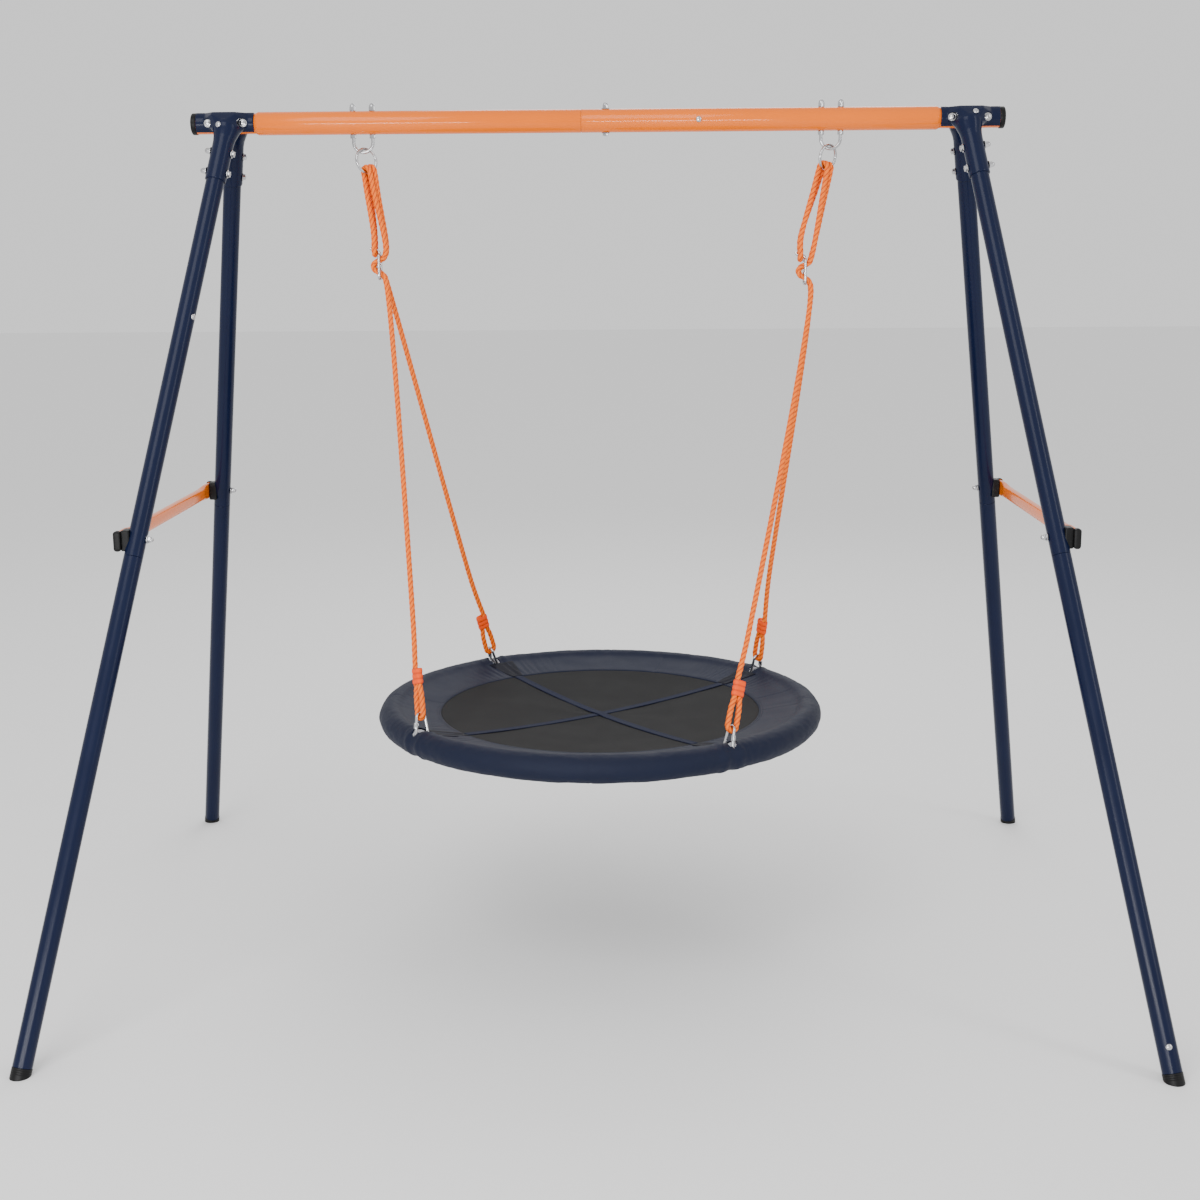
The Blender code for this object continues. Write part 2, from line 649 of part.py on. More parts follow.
def adjuster_point(side, x, y, z):
    """Point given from the middle of one rope adjuster."""
    middle_x, height = ADJUSTER_PLACE[side]
    return Vector((middle_x + x, y, height + z))


def make_adjusters():
    """Steel rope adjusters: a two-hole plate on edge with a finger that holds the rope's bight."""
    hole_width = ADJUSTER_WIDTH - 2 * ADJUSTER_BAR
    hole_height = (ADJUSTER_LENGTH - 3 * ADJUSTER_BAR) / 2
    shift = (hole_height + ADJUSTER_BAR) / 2
    outer = rounded_rectangle(ADJUSTER_WIDTH, ADJUSTER_LENGTH, 0.014, 0.0)
    holes = [rounded_rectangle(hole_width, hole_height, 0.0045, sense * shift) for sense in (1, -1)]
    across = Matrix(((0, 0, 1), (1, 0, 0), (0, 1, 0))).to_4x4()
    for side_name, side in SIDES.items():
        matrix = Matrix.Translation(adjuster_point(side, 0.0, 0.0, 0.0)) @ across
        plate = flat_outline(f"adjuster_{side_name}", [outer, *holes], ADJUSTER_THICKNESS, matrix,
                             zinc_steel)
        bend = [(0.0, 0.0265), (-0.001, 0.0305), (-0.0045, 0.0335), (-0.010, FINGER_HEIGHT),
                (-0.016, 0.0353), (-0.0185, 0.0375), (-0.019, 0.0405)]
        points = [adjuster_point(side, x, 0.0, z) for x, z in bend]
        fuse(plate, wire(f"adjuster_finger_{side_name}", points, FINGER_RADIUS))


def rounded_rectangle(width, height, radius, shift, steps=3):
    """Closed outline with round corners, moved along Y by shift."""
    points = []
    for quarter, (sign_x, sign_y) in enumerate(((1, 1), (-1, 1), (-1, -1), (1, -1))):
        for index in range(steps + 1):
            angle = (quarter + index / steps) * math.pi / 2
            points.append((sign_x * (width / 2 - radius) + radius * math.cos(angle),
                           sign_y * (height / 2 - radius) + radius * math.sin(angle) + shift))
    return points


def attach_frame(side, end):
    """Frame at one rope's end of the seat: origin on the hoop's centre, Z up the rope.

    X lies across the hoop inside the link's plane and Y is the link's normal.
    """
    azimuth = math.atan2(end * math.sin(ATTACH_ANGLE), side * math.cos(ATTACH_ANGLE)) + SEAT_YAW
    origin = Vector((SEAT_RADIUS * math.cos(azimuth), SEAT_RADIUS * math.sin(azimuth), SEAT_HEIGHT))
    up_rope = rope_exit(side, end) - origin
    tangent = Vector((-math.sin(azimuth), math.cos(azimuth), 0.0))
    across = tangent.cross(up_rope)
    if across.x * math.cos(azimuth) + across.y * math.sin(azimuth) < 0.0:
        across = -across
    return frame_along(origin, up_rope, across)


def rope_exit(side, end):
    """Point where one strand leaves the adjuster towards the seat."""
    return adjuster_point(side, 0.013, end * ROPE_PITCH / 2, -0.036)


def seat_half_path(side, end):
    """Controls from a rope's tail, round its eye, up to the adjuster's lower side."""
    frame = attach_frame(side, end)
    half = ROPE_PITCH / 2
    link_top = LINK_LENGTH + LINK_RADIUS
    eye_bottom = link_top - LINK_WIRE - ROPE_RADIUS - ROPE_GAP
    centre = eye_bottom + EYE_HALF_WIDTH
    sleeve_end = WHIPPING_START + WHIPPING_LENGTH
    local = [(half, sleeve_end - 0.002), (half, WHIPPING_START - 0.001), (0.0098, 0.100)]
    for index in range(7):
        angle = math.radians(15.0 - 35.0 * index)
        local.append((EYE_HALF_WIDTH * math.cos(angle), centre + EYE_HALF_WIDTH * math.sin(angle)))
    local += [(-0.0098, 0.100), (-half, WHIPPING_START - 0.001), (-half, sleeve_end + 0.004),
              (-0.003, sleeve_end + 0.045), (0.0, sleeve_end + 0.105)]
    return [frame @ Vector((0.0, across, height)) for across, height in local]


def hanger_path(side, end):
    """Controls of one strand from the adjuster, over the ring and down to the bight."""
    y = end * ROPE_PITCH / 2
    controls = [adjuster_point(side, x, y, z) for x, z in (
        (0.0135, -0.036), (0.0085, -0.0205), (0.0, -0.0132), (-0.009, -0.0085), (-0.0135, 0.0),
        (-0.009, 0.0085), (0.0, 0.0128), (0.009, 0.0185), (0.0145, 0.034))]
    turn = ring_turn(side)
    along = turn @ Vector((1.0, 0.0, 0.0))
    across = turn @ Vector((0.0, -1.0, 0.0))
    up = turn @ Vector((0.0, 0.0, 1.0))
    radius = RING_WIRE + ROPE_RADIUS + RING_ROPE_GAP
    rise = ROPE_PITCH ** 2 / (8 * RING_RADIUS)
    centre = ring_point(side, -math.pi / 2) + along * end * ROPE_PITCH / 2 + up * rise
    bight = ROPE_RADIUS + FINGER_RADIUS + ROPE_GAP
    bight_entry = adjuster_point(side, FINGER_X, end * (bight + 0.0004), 0.068)
    controls.append(controls[-1].lerp(centre + across * radius, 0.70))
    for index in range(7):
        angle = math.radians(-12.0 + 34.0 * index)
        controls.append(centre + across * radius * math.cos(angle) + up * radius * math.sin(angle))
    controls.append(bight_entry.lerp(centre - across * radius, 0.70))
    controls.append(bight_entry)
    for angle in (0.0, math.radians(-45.0)):
        controls.append(adjuster_point(side, FINGER_X, end * bight * math.cos(angle),
                                       FINGER_HEIGHT + bight * math.sin(angle)))
    return controls


def rope_controls(side):
    """Controls of a whole rope: front eye, adjuster, ring, bight, and back down to the rear eye."""
    front = seat_half_path(side, -1) + hanger_path(side, -1)
    rear = seat_half_path(side, 1) + hanger_path(side, 1)
    drop = ROPE_RADIUS + FINGER_RADIUS + ROPE_GAP
    bight_bottom = adjuster_point(side, FINGER_X, 0.0, FINGER_HEIGHT - drop)
    return [*front, bight_bottom, *reversed(rear)]


def make_ropes():
    """One continuous rope a side, with a whipping above each of its eyes."""
    for side_name, side in SIDES.items():
        wire(f"rope_{side_name}", smooth_path(rope_controls(side)), ROPE_RADIUS, orange_rope)
        for end_name, end in ENDS.items():
            frame = attach_frame(side, end)
            lift = Matrix.Translation((0.0, 0.0, WHIPPING_START + WHIPPING_LENGTH / 2))
            inner_width = 2 * ROPE_RADIUS + 2 * GAP
            inner_length = inner_width + ROPE_PITCH
            outer = stadium(inner_length + 2 * WHIPPING_WALL, inner_width + 2 * WHIPPING_WALL)
            inner = stadium(inner_length, inner_width)
            flat_outline(f"whipping_{end_name}_{side_name}", [outer, inner], WHIPPING_LENGTH,
                         frame @ lift, orange_rope)


def make_links():
    """Steel links round the hoop that carry the ropes' eyes."""
    for side_name, side in SIDES.items():
        for end_name, end in ENDS.items():
            points = []
            for index in range(14):
                angle = 2 * math.pi * (index + 0.5) / 14
                radius = LINK_TOP_RADIUS if index < 7 else LINK_RADIUS
                lift = LINK_LENGTH + LINK_RADIUS - LINK_TOP_RADIUS if index < 7 else 0.0
                points.append(Vector((radius * math.cos(angle), 0.0, lift + radius * math.sin(angle))))
            wire(f"link_{end_name}_{side_name}", points, LINK_WIRE, zinc_steel, cyclic=True,
                 matrix=attach_frame(side, end))


def circle_profile(radius, steps, start=0.0):
    """Closed round profile about the hoop's centreline, its outer side running downward."""
    return [(SEAT_RADIUS + radius * math.cos(start - 2 * math.pi * index / steps),
             radius * math.sin(start - 2 * math.pi * index / steps)) for index in range(steps)]


def make_seat():
    """Hoop, foam, cover, mat and crossed straps of the seat."""
    matrix = Matrix.Translation((0.0, 0.0, SEAT_HEIGHT))
    turned("seat_hoop", circle_profile(HOOP_WIRE, HOOP_SIDES), matrix, SEAT_STEPS, zinc_steel)
    foam = turned("seat_foam", circle_profile(FOAM_OUTER, FOAM_SIDES), matrix, SEAT_STEPS, grey_foam)
    foam_hollow = turned("foam_hollow", circle_profile(FOAM_INNER, HOOP_SIDES), matrix, SEAT_STEPS)
    cover = turned("seat_cover", cover_profile(), matrix, SEAT_STEPS, navy_fabric)
    cover_hollow = turned("cover_hollow", circle_profile(COVER_INNER, FOAM_SIDES), matrix, SEAT_STEPS)
    cut(foam, foam_hollow)
    cut(cover, cover_hollow)
    for side_name, side in SIDES.items():
        for end_name, end in ENDS.items():
            key = f"{end_name}_{side_name}"
            frame = attach_frame(side, end)
            reach = LINK_RADIUS + LINK_WIRE + 0.0008
            foam_slot = box(f"foam_slot_{key}", (2 * reach, 0.0125, 0.060 + reach),
                            frame @ Matrix.Translation((0.0, 0.0, (0.060 - reach) / 2)))
            cover_slit = box(f"cover_slit_{key}", (0.047, 0.018, 0.060),
                             frame @ Matrix.Translation((0.0, 0.0, 0.035)))
            cut(foam, foam_slot)
            cut(cover, cover_slit)
    mat_radius = COVER_EDGE_RADIUS - GAP
    top = COVER_EDGE_THICKNESS / 2
    mat = [(0.0, top), (mat_radius, top), (mat_radius, top - MAT_THICKNESS), (0.0, top - MAT_THICKNESS)]
    turned("seat_mat", mat, matrix, SEAT_STEPS, black_mat, closed=False)
    strap_frame = Matrix.Translation((0.0, 0.0, SEAT_HEIGHT + top + GAP + STRAP_THICKNESS / 2))
    flat_outline("seat_cross_strap", [strap_outline()], STRAP_THICKNESS, strap_frame, navy_fabric)


def cover_profile():
    """Outline of the cover: a round tube with a band tapering in to the mat's edge."""
    points = []
    for index in range(9):
        angle = math.radians(108.0 - index * 216.0 / 8)
        points.append((SEAT_RADIUS + COVER_OUTER * math.cos(angle), COVER_OUTER * math.sin(angle)))
    half = COVER_EDGE_THICKNESS / 2
    points += [(SEAT_RADIUS - 0.045, -0.014), (COVER_EDGE_RADIUS, -half),
               (COVER_EDGE_RADIUS, half), (SEAT_RADIUS - 0.045, 0.018)]
    return points


def strap_azimuth(quarter):
    """Azimuth of one arm of the crossed straps, which ends at an attachment."""
    lean = ATTACH_ANGLE if quarter % 2 == 0 else math.pi - ATTACH_ANGLE
    return lean + (quarter // 2) * math.pi + SEAT_YAW


def strap_outline():
    """Outline of two straps that cross in the middle, joined as one X."""
    half = STRAP_WIDTH / 2
    length = COVER_EDGE_RADIUS - 0.004
    points = []
    for quarter in range(4):
        azimuth = strap_azimuth(quarter)
        along = Vector((math.cos(azimuth), math.sin(azimuth)))
        across = Vector((-along.y, along.x))
        for place in (along * length - across * half, along * length + across * half,
                      along * half + across * half):
            points.append((place.x, place.y))
    return points


clear_scene()
swing = new_collection(SWING_NAME)
construction = new_collection(CONSTRUCTION_NAME)
navy_steel = new_material("navy_steel", (0.010, 0.015, 0.045), 0.30, 0.0)
orange_steel = new_material("orange_steel", (1.0, 0.24, 0.012), 0.30, 0.0)
zinc_steel = new_material("zinc_steel", (0.72, 0.73, 0.74), 0.22, 1.0)
black_plastic = new_material("black_plastic", (0.012, 0.012, 0.013), 0.50, 0.0)
orange_rope = new_material("orange_rope", (0.92, 0.19, 0.010), 0.70, 0.0)
navy_fabric = new_material("navy_fabric", (0.017, 0.024, 0.060), 0.80, 0.0)
black_mat = new_material("black_mat", (0.022, 0.022, 0.025), 0.85, 0.0)
grey_foam = new_material("grey_foam", (0.55, 0.55, 0.56), 0.90, 0.0)

make_crossbar()
make_brackets()
make_legs()
make_braces()
make_hangers()
make_adjusters()
make_ropes()
make_links()
make_seat()
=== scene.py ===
"""Looks of the nest swing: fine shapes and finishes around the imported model.

The swing hangs in the frame's own coordinates: X along the crossbar, -Y to the front
and Z up from the floor. All sizes are metres.
"""
import logging
import math
from dataclasses import dataclass, field
from enum import Enum
from typing import Iterable, Sequence

import bmesh
import bpy
from mathutils import Matrix, Vector, noise


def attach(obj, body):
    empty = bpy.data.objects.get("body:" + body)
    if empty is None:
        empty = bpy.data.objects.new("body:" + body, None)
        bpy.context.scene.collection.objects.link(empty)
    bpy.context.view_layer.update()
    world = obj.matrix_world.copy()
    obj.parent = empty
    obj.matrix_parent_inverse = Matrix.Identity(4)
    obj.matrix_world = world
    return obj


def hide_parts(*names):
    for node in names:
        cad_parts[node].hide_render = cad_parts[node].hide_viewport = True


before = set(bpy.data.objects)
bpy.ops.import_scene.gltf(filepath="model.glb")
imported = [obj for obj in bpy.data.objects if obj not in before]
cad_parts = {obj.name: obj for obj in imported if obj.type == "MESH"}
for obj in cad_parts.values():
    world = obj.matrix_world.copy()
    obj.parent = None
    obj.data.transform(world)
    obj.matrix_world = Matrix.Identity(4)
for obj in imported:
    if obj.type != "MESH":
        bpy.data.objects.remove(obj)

LOG = logging.getLogger("nest_swing")
SIDES = {"left": -1, "right": 1}
ENDS = {"front": -1, "rear": 1}
UP = Vector((0.0, 0.0, 1.0))
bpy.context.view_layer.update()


class Body(str, Enum):
    """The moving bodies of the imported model."""

    FRAME = "frame"
    RING_LEFT = "ring_left"
    RING_RIGHT = "ring_right"
    SEAT = "seat"


class Slot(str, Enum):
    """The record's material slots."""

    NAVY_STEEL = "navy_steel"
    ORANGE_STEEL = "orange_steel"
    ZINC_STEEL = "zinc_steel"
    BLACK_PLASTIC = "black_plastic"
    ROPE = "orange_rope"
    NAVY_FABRIC = "navy_fabric"
    BLACK_MAT = "black_mat"
    FOAM = "grey_foam"


# ---------------------------------------------------------------- node helpers


class Graph:
    """A node tree with short calls for adding and joining nodes."""

    def __init__(self, tree: bpy.types.NodeTree) -> None:
        """Wrap a tree."""
        self.tree = tree

    def add(self, kind: str, inputs: dict | None = None, **settings) -> bpy.types.Node:
        """Add a node, set its properties, and link or set its inputs.

        Args:
            kind: The node's type name.
            inputs: Socket name or index to a value or to another node's output.
            settings: Properties of the node itself.

        Returns:
            The new node.
        """
        node = self.tree.nodes.new(kind)
        for name, value in settings.items():
            setattr(node, name, value)
        for name, value in (inputs or {}).items():
            socket = node.inputs[name]
            if isinstance(value, bpy.types.NodeSocket):
                self.tree.links.new(value, socket)
            else:
                socket.default_value = value
        return node

    def math(self, operation: str, *values) -> bpy.types.NodeSocket:
        """A Math node's result from one to three values or sockets."""
        node = self.add("ShaderNodeMath", dict(enumerate(values)), operation=operation)
        return node.outputs[0]

    def blend(self, factor: float | bpy.types.NodeSocket, first: tuple | bpy.types.NodeSocket,
              second: tuple | bpy.types.NodeSocket) -> bpy.types.NodeSocket:
        """A colour mixed from first to second by factor.

        Args:
            factor: 0 gives first, 1 gives second.
            first: A colour or a socket.
            second: A colour or a socket.

        Returns:
            The mixed colour.
        """
        node = self.add("ShaderNodeMix", data_type="RGBA")
        for name, value in (("Factor", factor), ("A", first), ("B", second)):
            socket = next(s for s in node.inputs if s.name == name and s.enabled)
            if isinstance(value, bpy.types.NodeSocket):
                self.tree.links.new(value, socket)
            else:
                socket.default_value = value
        return next(s for s in node.outputs if s.enabled)


def new_group(name: str, inputs: dict[str, str], outputs: dict[str, str]) -> tuple[Graph, dict, dict]:
    """A shader node group with named sockets.

    Args:
        name: The group's name.
        inputs: Input names and their socket types.
        outputs: Output names and their socket types.

    Returns:
        The graph, its input sockets by name, and the output node's sockets by name.
    """
    tree = bpy.data.node_groups.new(name, "ShaderNodeTree")
    for direction, sockets in (("INPUT", inputs), ("OUTPUT", outputs)):
        for socket_name, kind in sockets.items():
            tree.interface.new_socket(name=socket_name, in_out=direction, socket_type=kind)
    graph = Graph(tree)
    entry = graph.add("NodeGroupInput")
    leave = graph.add("NodeGroupOutput")
    return graph, {s.name: s for s in entry.outputs}, {s.name: s for s in leave.inputs}


class Effects:
    """Shader groups that several finishes share, each built once."""

    def __init__(self) -> None:
        """Build every group."""
        self.grain = self._grain()
        self.weave = self._weave()
        self.dust = self._dust()

    @staticmethod
    def _grain() -> bpy.types.NodeTree:
        """Fine grain: a height and a roughness that wanders, both on Object coordinates.

        Returns:
            The group.
        """
        graph, given, made = new_group(
            "fine_grain",
            {"Scale": "NodeSocketFloat", "Roughness": "NodeSocketFloat", "Spread": "NodeSocketFloat"},
            {"Height": "NodeSocketFloat", "Roughness": "NodeSocketFloat", "Mask": "NodeSocketFloat"})
        place = graph.add("ShaderNodeTexCoord").outputs["Object"]
        fine = graph.add("ShaderNodeTexNoise", {"Vector": place, "Scale": given["Scale"], "Detail": 3.0})
        wide = graph.add("ShaderNodeTexNoise", {"Vector": place, "Scale": 9.0, "Detail": 4.0, "Distortion": 0.6})
        centred = graph.math("SUBTRACT", wide.outputs["Fac"], 0.5)
        wander = graph.math("MULTIPLY", centred, given["Spread"])
        rough = graph.math("ADD", wander, given["Roughness"])
        graph.tree.links.new(fine.outputs["Fac"], made["Height"])
        graph.tree.links.new(rough, made["Roughness"])
        graph.tree.links.new(wide.outputs["Fac"], made["Mask"])
        return graph.tree

    @staticmethod
    def _weave() -> bpy.types.NodeTree:
        """A plain weave on a UV map in metres: a height and a mask of the gaps between threads, where painted
        shade goes.

        Returns:
            The group.
        """
        graph, given, made = new_group(
            "plain_weave", {"Vector": "NodeSocketVector", "Threads": "NodeSocketFloat"},
            {"Height": "NodeSocketFloat", "Gap": "NodeSocketFloat"})
        split = graph.add("ShaderNodeSeparateXYZ", {0: given["Vector"]})
        waves = []
        for axis in ("X", "Y"):
            turns = graph.math("MULTIPLY", split.outputs[axis], given["Threads"])
            waves.append(graph.math("SINE", graph.math("MULTIPLY", turns, math.pi)))
        over = graph.math("MULTIPLY", waves[0], waves[1])
        height = graph.math("MULTIPLY_ADD", over, 0.5, 0.5)
        crossing = graph.math("MULTIPLY", graph.math("ABSOLUTE", waves[0]), graph.math("ABSOLUTE", waves[1]))
        # Painted shade mask: 1 along the gaps between threads.
        gap_shade = graph.math("SUBTRACT", 1.0, graph.math("POWER", crossing, 0.35))
        graph.tree.links.new(height, made["Height"])
        graph.tree.links.new(gap_shade, made["Gap"])
        return graph.tree

    @staticmethod
    def _dust() -> bpy.types.NodeTree:
        """Pale dust that settles in patches on what faces up.

        Returns:
            The group.
        """
        graph, given, made = new_group(
            "settled_dust", {"Colour": "NodeSocketColor", "Amount": "NodeSocketFloat"},
            {"Colour": "NodeSocketColor"})
        coordinates = graph.add("ShaderNodeTexCoord")
        facing = graph.add("ShaderNodeSeparateXYZ", {0: coordinates.outputs["Normal"]}).outputs["Z"]
        upward = graph.math("MAXIMUM", facing, 0.0)
        patches = graph.add("ShaderNodeTexNoise", {"Vector": coordinates.outputs["Object"], "Scale": 22.0,
                                                   "Detail": 6.0}).outputs["Fac"]
        amount = graph.math("MULTIPLY", graph.math("MULTIPLY", upward, patches), given["Amount"])
        colour = graph.blend(amount, given["Colour"], (0.55, 0.53, 0.50, 1.0))
        graph.tree.links.new(colour, made["Colour"])
        return graph.tree


@dataclass(frozen=True)
class Finish:
    """A surface with grain, wandering roughness and a little dust."""

    name: str
    colour: tuple[float, float, float]
    roughness: float
    metallic: float = 0.0
    grain_scale: float = 700.0
    grain_depth: float = 0.03
    spread: float = 0.12
    dust: float = 0.05
    shade: float = 0.12
    specular: float = 0.5

    def build(self, effects: Effects) -> bpy.types.Material:
        """Make the material.

        Args:
            effects: The shared groups.

        Returns:
            The new material.
        """
        material, graph, shader = blank_material(self.name)
        grain = graph.add("ShaderNodeGroup", node_tree=effects.grain)
        grain.inputs["Scale"].default_value = self.grain_scale
        grain.inputs["Roughness"].default_value = self.roughness
        grain.inputs["Spread"].default_value = self.spread
        dark = tuple(channel * (1.0 - self.shade) for channel in self.colour)
        light = tuple(min(1.0, channel * (1.0 + self.shade)) for channel in self.colour)
        tone = graph.blend(grain.outputs["Mask"], (*dark, 1.0), (*light, 1.0))
        dusted = graph.add("ShaderNodeGroup", {"Colour": tone}, node_tree=effects.dust)
        dusted.inputs["Amount"].default_value = self.dust
        bump = graph.add("ShaderNodeBump", {"Height": grain.outputs["Height"], "Strength": self.grain_depth,
                                            "Distance": 0.0004})
        links = graph.tree.links
        links.new(dusted.outputs["Colour"], shader.inputs["Base Color"])
        links.new(grain.outputs["Roughness"], shader.inputs["Roughness"])
        links.new(bump.outputs["Normal"], shader.inputs["Normal"])
        shader.inputs["Metallic"].default_value = self.metallic
        shader.inputs["Specular IOR Level"].default_value = self.specular
        return material


@dataclass(frozen=True)
class Cloth:
    """Woven cloth on a UV map in metres, with worn tones, painted shade in the gaps between threads and a low
    specular.
    """

    name: str
    colour: tuple[float, float, float]
    gap_shade_colour: tuple[float, float, float]
    threads: float
    depth: float
    roughness: float = 0.75
    specular: float = 0.15
    gap_shade_strength: float = 0.6

    def build(self, effects: Effects) -> bpy.types.Material:
        """Make the material.

        Args:
            effects: The shared groups.

        Returns:
            The new material.
        """
        material, graph, shader = blank_material(self.name)
        uv = graph.add("ShaderNodeUVMap", uv_map="UVMap").outputs["UV"]
        weave = graph.add("ShaderNodeGroup", {"Vector": uv}, node_tree=effects.weave)
        weave.inputs["Threads"].default_value = self.threads
        grain = graph.add("ShaderNodeGroup", node_tree=effects.grain)
        grain.inputs["Scale"].default_value = 260.0
        grain.inputs["Roughness"].default_value = self.roughness
        grain.inputs["Spread"].default_value = 0.10
        light = tuple(min(1.0, channel * 1.35) for channel in self.colour)
        tone = graph.blend(grain.outputs["Mask"], (*self.colour, 1.0), (*light, 1.0))
        gap_shade = graph.math("MULTIPLY", weave.outputs["Gap"], self.gap_shade_strength)
        # Painted shade: the gaps between threads darken to the gap shade colour.
        woven = graph.blend(gap_shade, tone, (*self.gap_shade_colour, 1.0))
        dusted = graph.add("ShaderNodeGroup", {"Colour": woven}, node_tree=effects.dust)
        dusted.inputs["Amount"].default_value = 0.006
        height = graph.math("MULTIPLY_ADD", grain.outputs["Height"], 0.35, weave.outputs["Height"])
        bump = graph.add("ShaderNodeBump", {"Height": height, "Strength": self.depth, "Distance": 0.0006})
        links = graph.tree.links
        links.new(dusted.outputs["Colour"], shader.inputs["Base Color"])
        links.new(grain.outputs["Roughness"], shader.inputs["Roughness"])
        links.new(bump.outputs["Normal"], shader.inputs["Normal"])
        shader.inputs["Specular IOR Level"].default_value = self.specular
        return material


@dataclass(frozen=True)
class Twine:
    """Twisted polypropylene: painted shade in the valleys between strands, and lighter fibre streaks along the
    lay that are partly fibre tone and partly painted highlight.
    """

    name: str
    colour: tuple[float, float, float]
    valley_shade: tuple[float, float, float]
    crown: tuple[float, float, float]
    fibres: float = 9.0

    def build(self, effects: Effects) -> bpy.types.Material:
        """Make the material.

        Args:
            effects: The shared groups.

        Returns:
            The new material.
        """
        material, graph, shader = blank_material(self.name)
        groove = graph.add("ShaderNodeAttribute", attribute_name="groove").outputs["Fac"]
        around = graph.add("ShaderNodeAttribute", attribute_name="around").outputs["Fac"]
        along = graph.add("ShaderNodeAttribute", attribute_name="along").outputs["Fac"]
        place = graph.add("ShaderNodeCombineXYZ", {
            "X": graph.math("MULTIPLY", around, self.fibres * 6.0),
            "Y": graph.math("MULTIPLY", along, 120.0)})
        fibre = graph.add("ShaderNodeTexNoise", {"Vector": place.outputs[0], "Scale": 1.0, "Detail": 3.0})
        grain = graph.add("ShaderNodeGroup", node_tree=effects.grain)
        grain.inputs["Scale"].default_value = 900.0
        grain.inputs["Roughness"].default_value = 0.55
        grain.inputs["Spread"].default_value = 0.15
        # Lighter fibre streaks in the crown colour: partly fibre tone, partly painted highlight.
        bright = graph.blend(fibre.outputs["Fac"], (*self.colour, 1.0), (*self.crown, 1.0))
        # Painted shade: the colour darkens to the valley shade colour where the groove is deep.
        shaded = graph.blend(graph.math("POWER", groove, 1.6), bright, (*self.valley_shade, 1.0))
        height = graph.math("MULTIPLY_ADD", grain.outputs["Height"], 0.3, fibre.outputs["Fac"])
        bump = graph.add("ShaderNodeBump", {"Height": height, "Strength": 0.35, "Distance": 0.0006})
        links = graph.tree.links
        links.new(shaded, shader.inputs["Base Color"])
        links.new(grain.outputs["Roughness"], shader.inputs["Roughness"])
        links.new(bump.outputs["Normal"], shader.inputs["Normal"])
        shader.inputs["Specular IOR Level"].default_value = 0.2
        return material


def blank_material(name: str) -> tuple[bpy.types.Material, Graph, bpy.types.Node]:
    """A new material, its graph and its Principled shader.

    Args:
        name: Name of the result.

    Returns:
        The material, its graph and its Principled shader.
    """
    material = bpy.data.materials.new(name)
    material.use_nodes = True
    graph = Graph(material.node_tree)
    return material, graph, material.node_tree.nodes["Principled BSDF"]


class Palette:
    """Every finish of the swing, built once."""

    def __init__(self) -> None:
        """Build the materials."""
        effects = Effects()
        self.navy = Finish("navy_powder_coat", (0.0042, 0.0080, 0.0300), 0.24, specular=0.16,
                           grain_scale=420.0, grain_depth=0.08, dust=0.008).build(effects)
        self.orange = Finish("orange_powder_coat", (0.85, 0.165, 0.0), 0.13, specular=0.30,
                             grain_scale=420.0, grain_depth=0.08, shade=0.04, dust=0.0).build(effects)
        self.zinc = Finish("bright_zinc", (0.52, 0.52, 0.53), 0.20, metallic=1.0, grain_scale=900.0,
                           grain_depth=0.08, shade=0.30).build(effects)
        self.plastic = Finish("moulded_black", (0.004, 0.004, 0.0045), 0.42, grain_scale=1500.0,
                              grain_depth=0.18, specular=0.2, dust=0.01).build(effects)
        self.foam = Finish("closed_cell_foam", (0.55, 0.56, 0.60), 0.90, grain_scale=1300.0,
                           grain_depth=0.5, dust=0.0).build(effects)
        self.thread = Finish("polyester_thread", (0.010, 0.013, 0.030), 0.62, grain_scale=2200.0,
                             grain_depth=0.3, specular=0.1, dust=0.0).build(effects)
        # Each twine's second colour is painted shade for the strand valleys; its third is a lighter fibre colour,
        # partly painted highlight.
        self.rope = Twine("orange_twisted_rope", (0.93, 0.105, 0.0), (0.40, 0.022, 0.0),
                          (1.0, 0.26, 0.012)).build(effects)
        self.whipping = Twine("orange_whipping", (0.95, 0.060, 0.0), (0.42, 0.014, 0.0),
                              (1.0, 0.13, 0.006), fibres=14.0).build(effects)
        # Each cloth's second colour is painted shade for the gaps between threads.
        self.cover = Cloth("navy_cover_cloth", (0.0036, 0.0066, 0.0225), (0.002, 0.0035, 0.011), 1100.0,
                           0.22, roughness=0.60, specular=0.20).build(effects)
        self.patch = Cloth("dark_reinforcement_cloth", (0.0012, 0.0018, 0.0085), (0.0005, 0.0008, 0.003),
                           900.0, 0.3, roughness=0.65).build(effects)
        self.strap = Cloth("navy_webbing", (0.0055, 0.0090, 0.030), (0.002, 0.003, 0.009), 620.0, 0.5,
                           roughness=0.7).build(effects)
        self.mat = Cloth("black_mesh_cloth", (0.0048, 0.0048, 0.0056), (0.0008, 0.0008, 0.0008), 420.0,
                         0.55, roughness=0.7, gap_shade_strength=0.9).build(effects)


# ---------------------------------------------------------------- mesh helpers


def frame_along(origin: Vector, direction: Vector, side: Vector = Vector((1.0, 0.0, 0.0))) -> Matrix:
    """A matrix whose Z runs along direction and whose X lies close to side.

    Args:
        origin: Its origin.
        direction: Where Z points.
        side: What X lies close to.

    Returns:
        The matrix.
    """
    z_axis = direction.normalized()
    if abs(z_axis.dot(side.normalized())) > 0.9:
        side = Vector((side.z, side.x, side.y))
    x_axis = (side - z_axis * side.dot(z_axis)).normalized()
    y_axis = z_axis.cross(x_axis)
    return Matrix.Translation(origin) @ Matrix((x_axis, y_axis, z_axis)).transposed().to_4x4()


def new_piece(name: str, mesh: bpy.types.Mesh, material: bpy.types.Material | None) -> bpy.types.Object:
    """An object at the origin that shows a mesh in one finish.

    Args:
        name: Name of the result.
        mesh: The mesh.
        material: Its finish.

    Returns:
        The linked object.
    """
    mesh.name = name
    mesh.materials.clear()
    if material is not None:
        mesh.materials.append(material)
    piece = bpy.data.objects.new(name, mesh)
    bpy.context.scene.collection.objects.link(piece)
    return piece


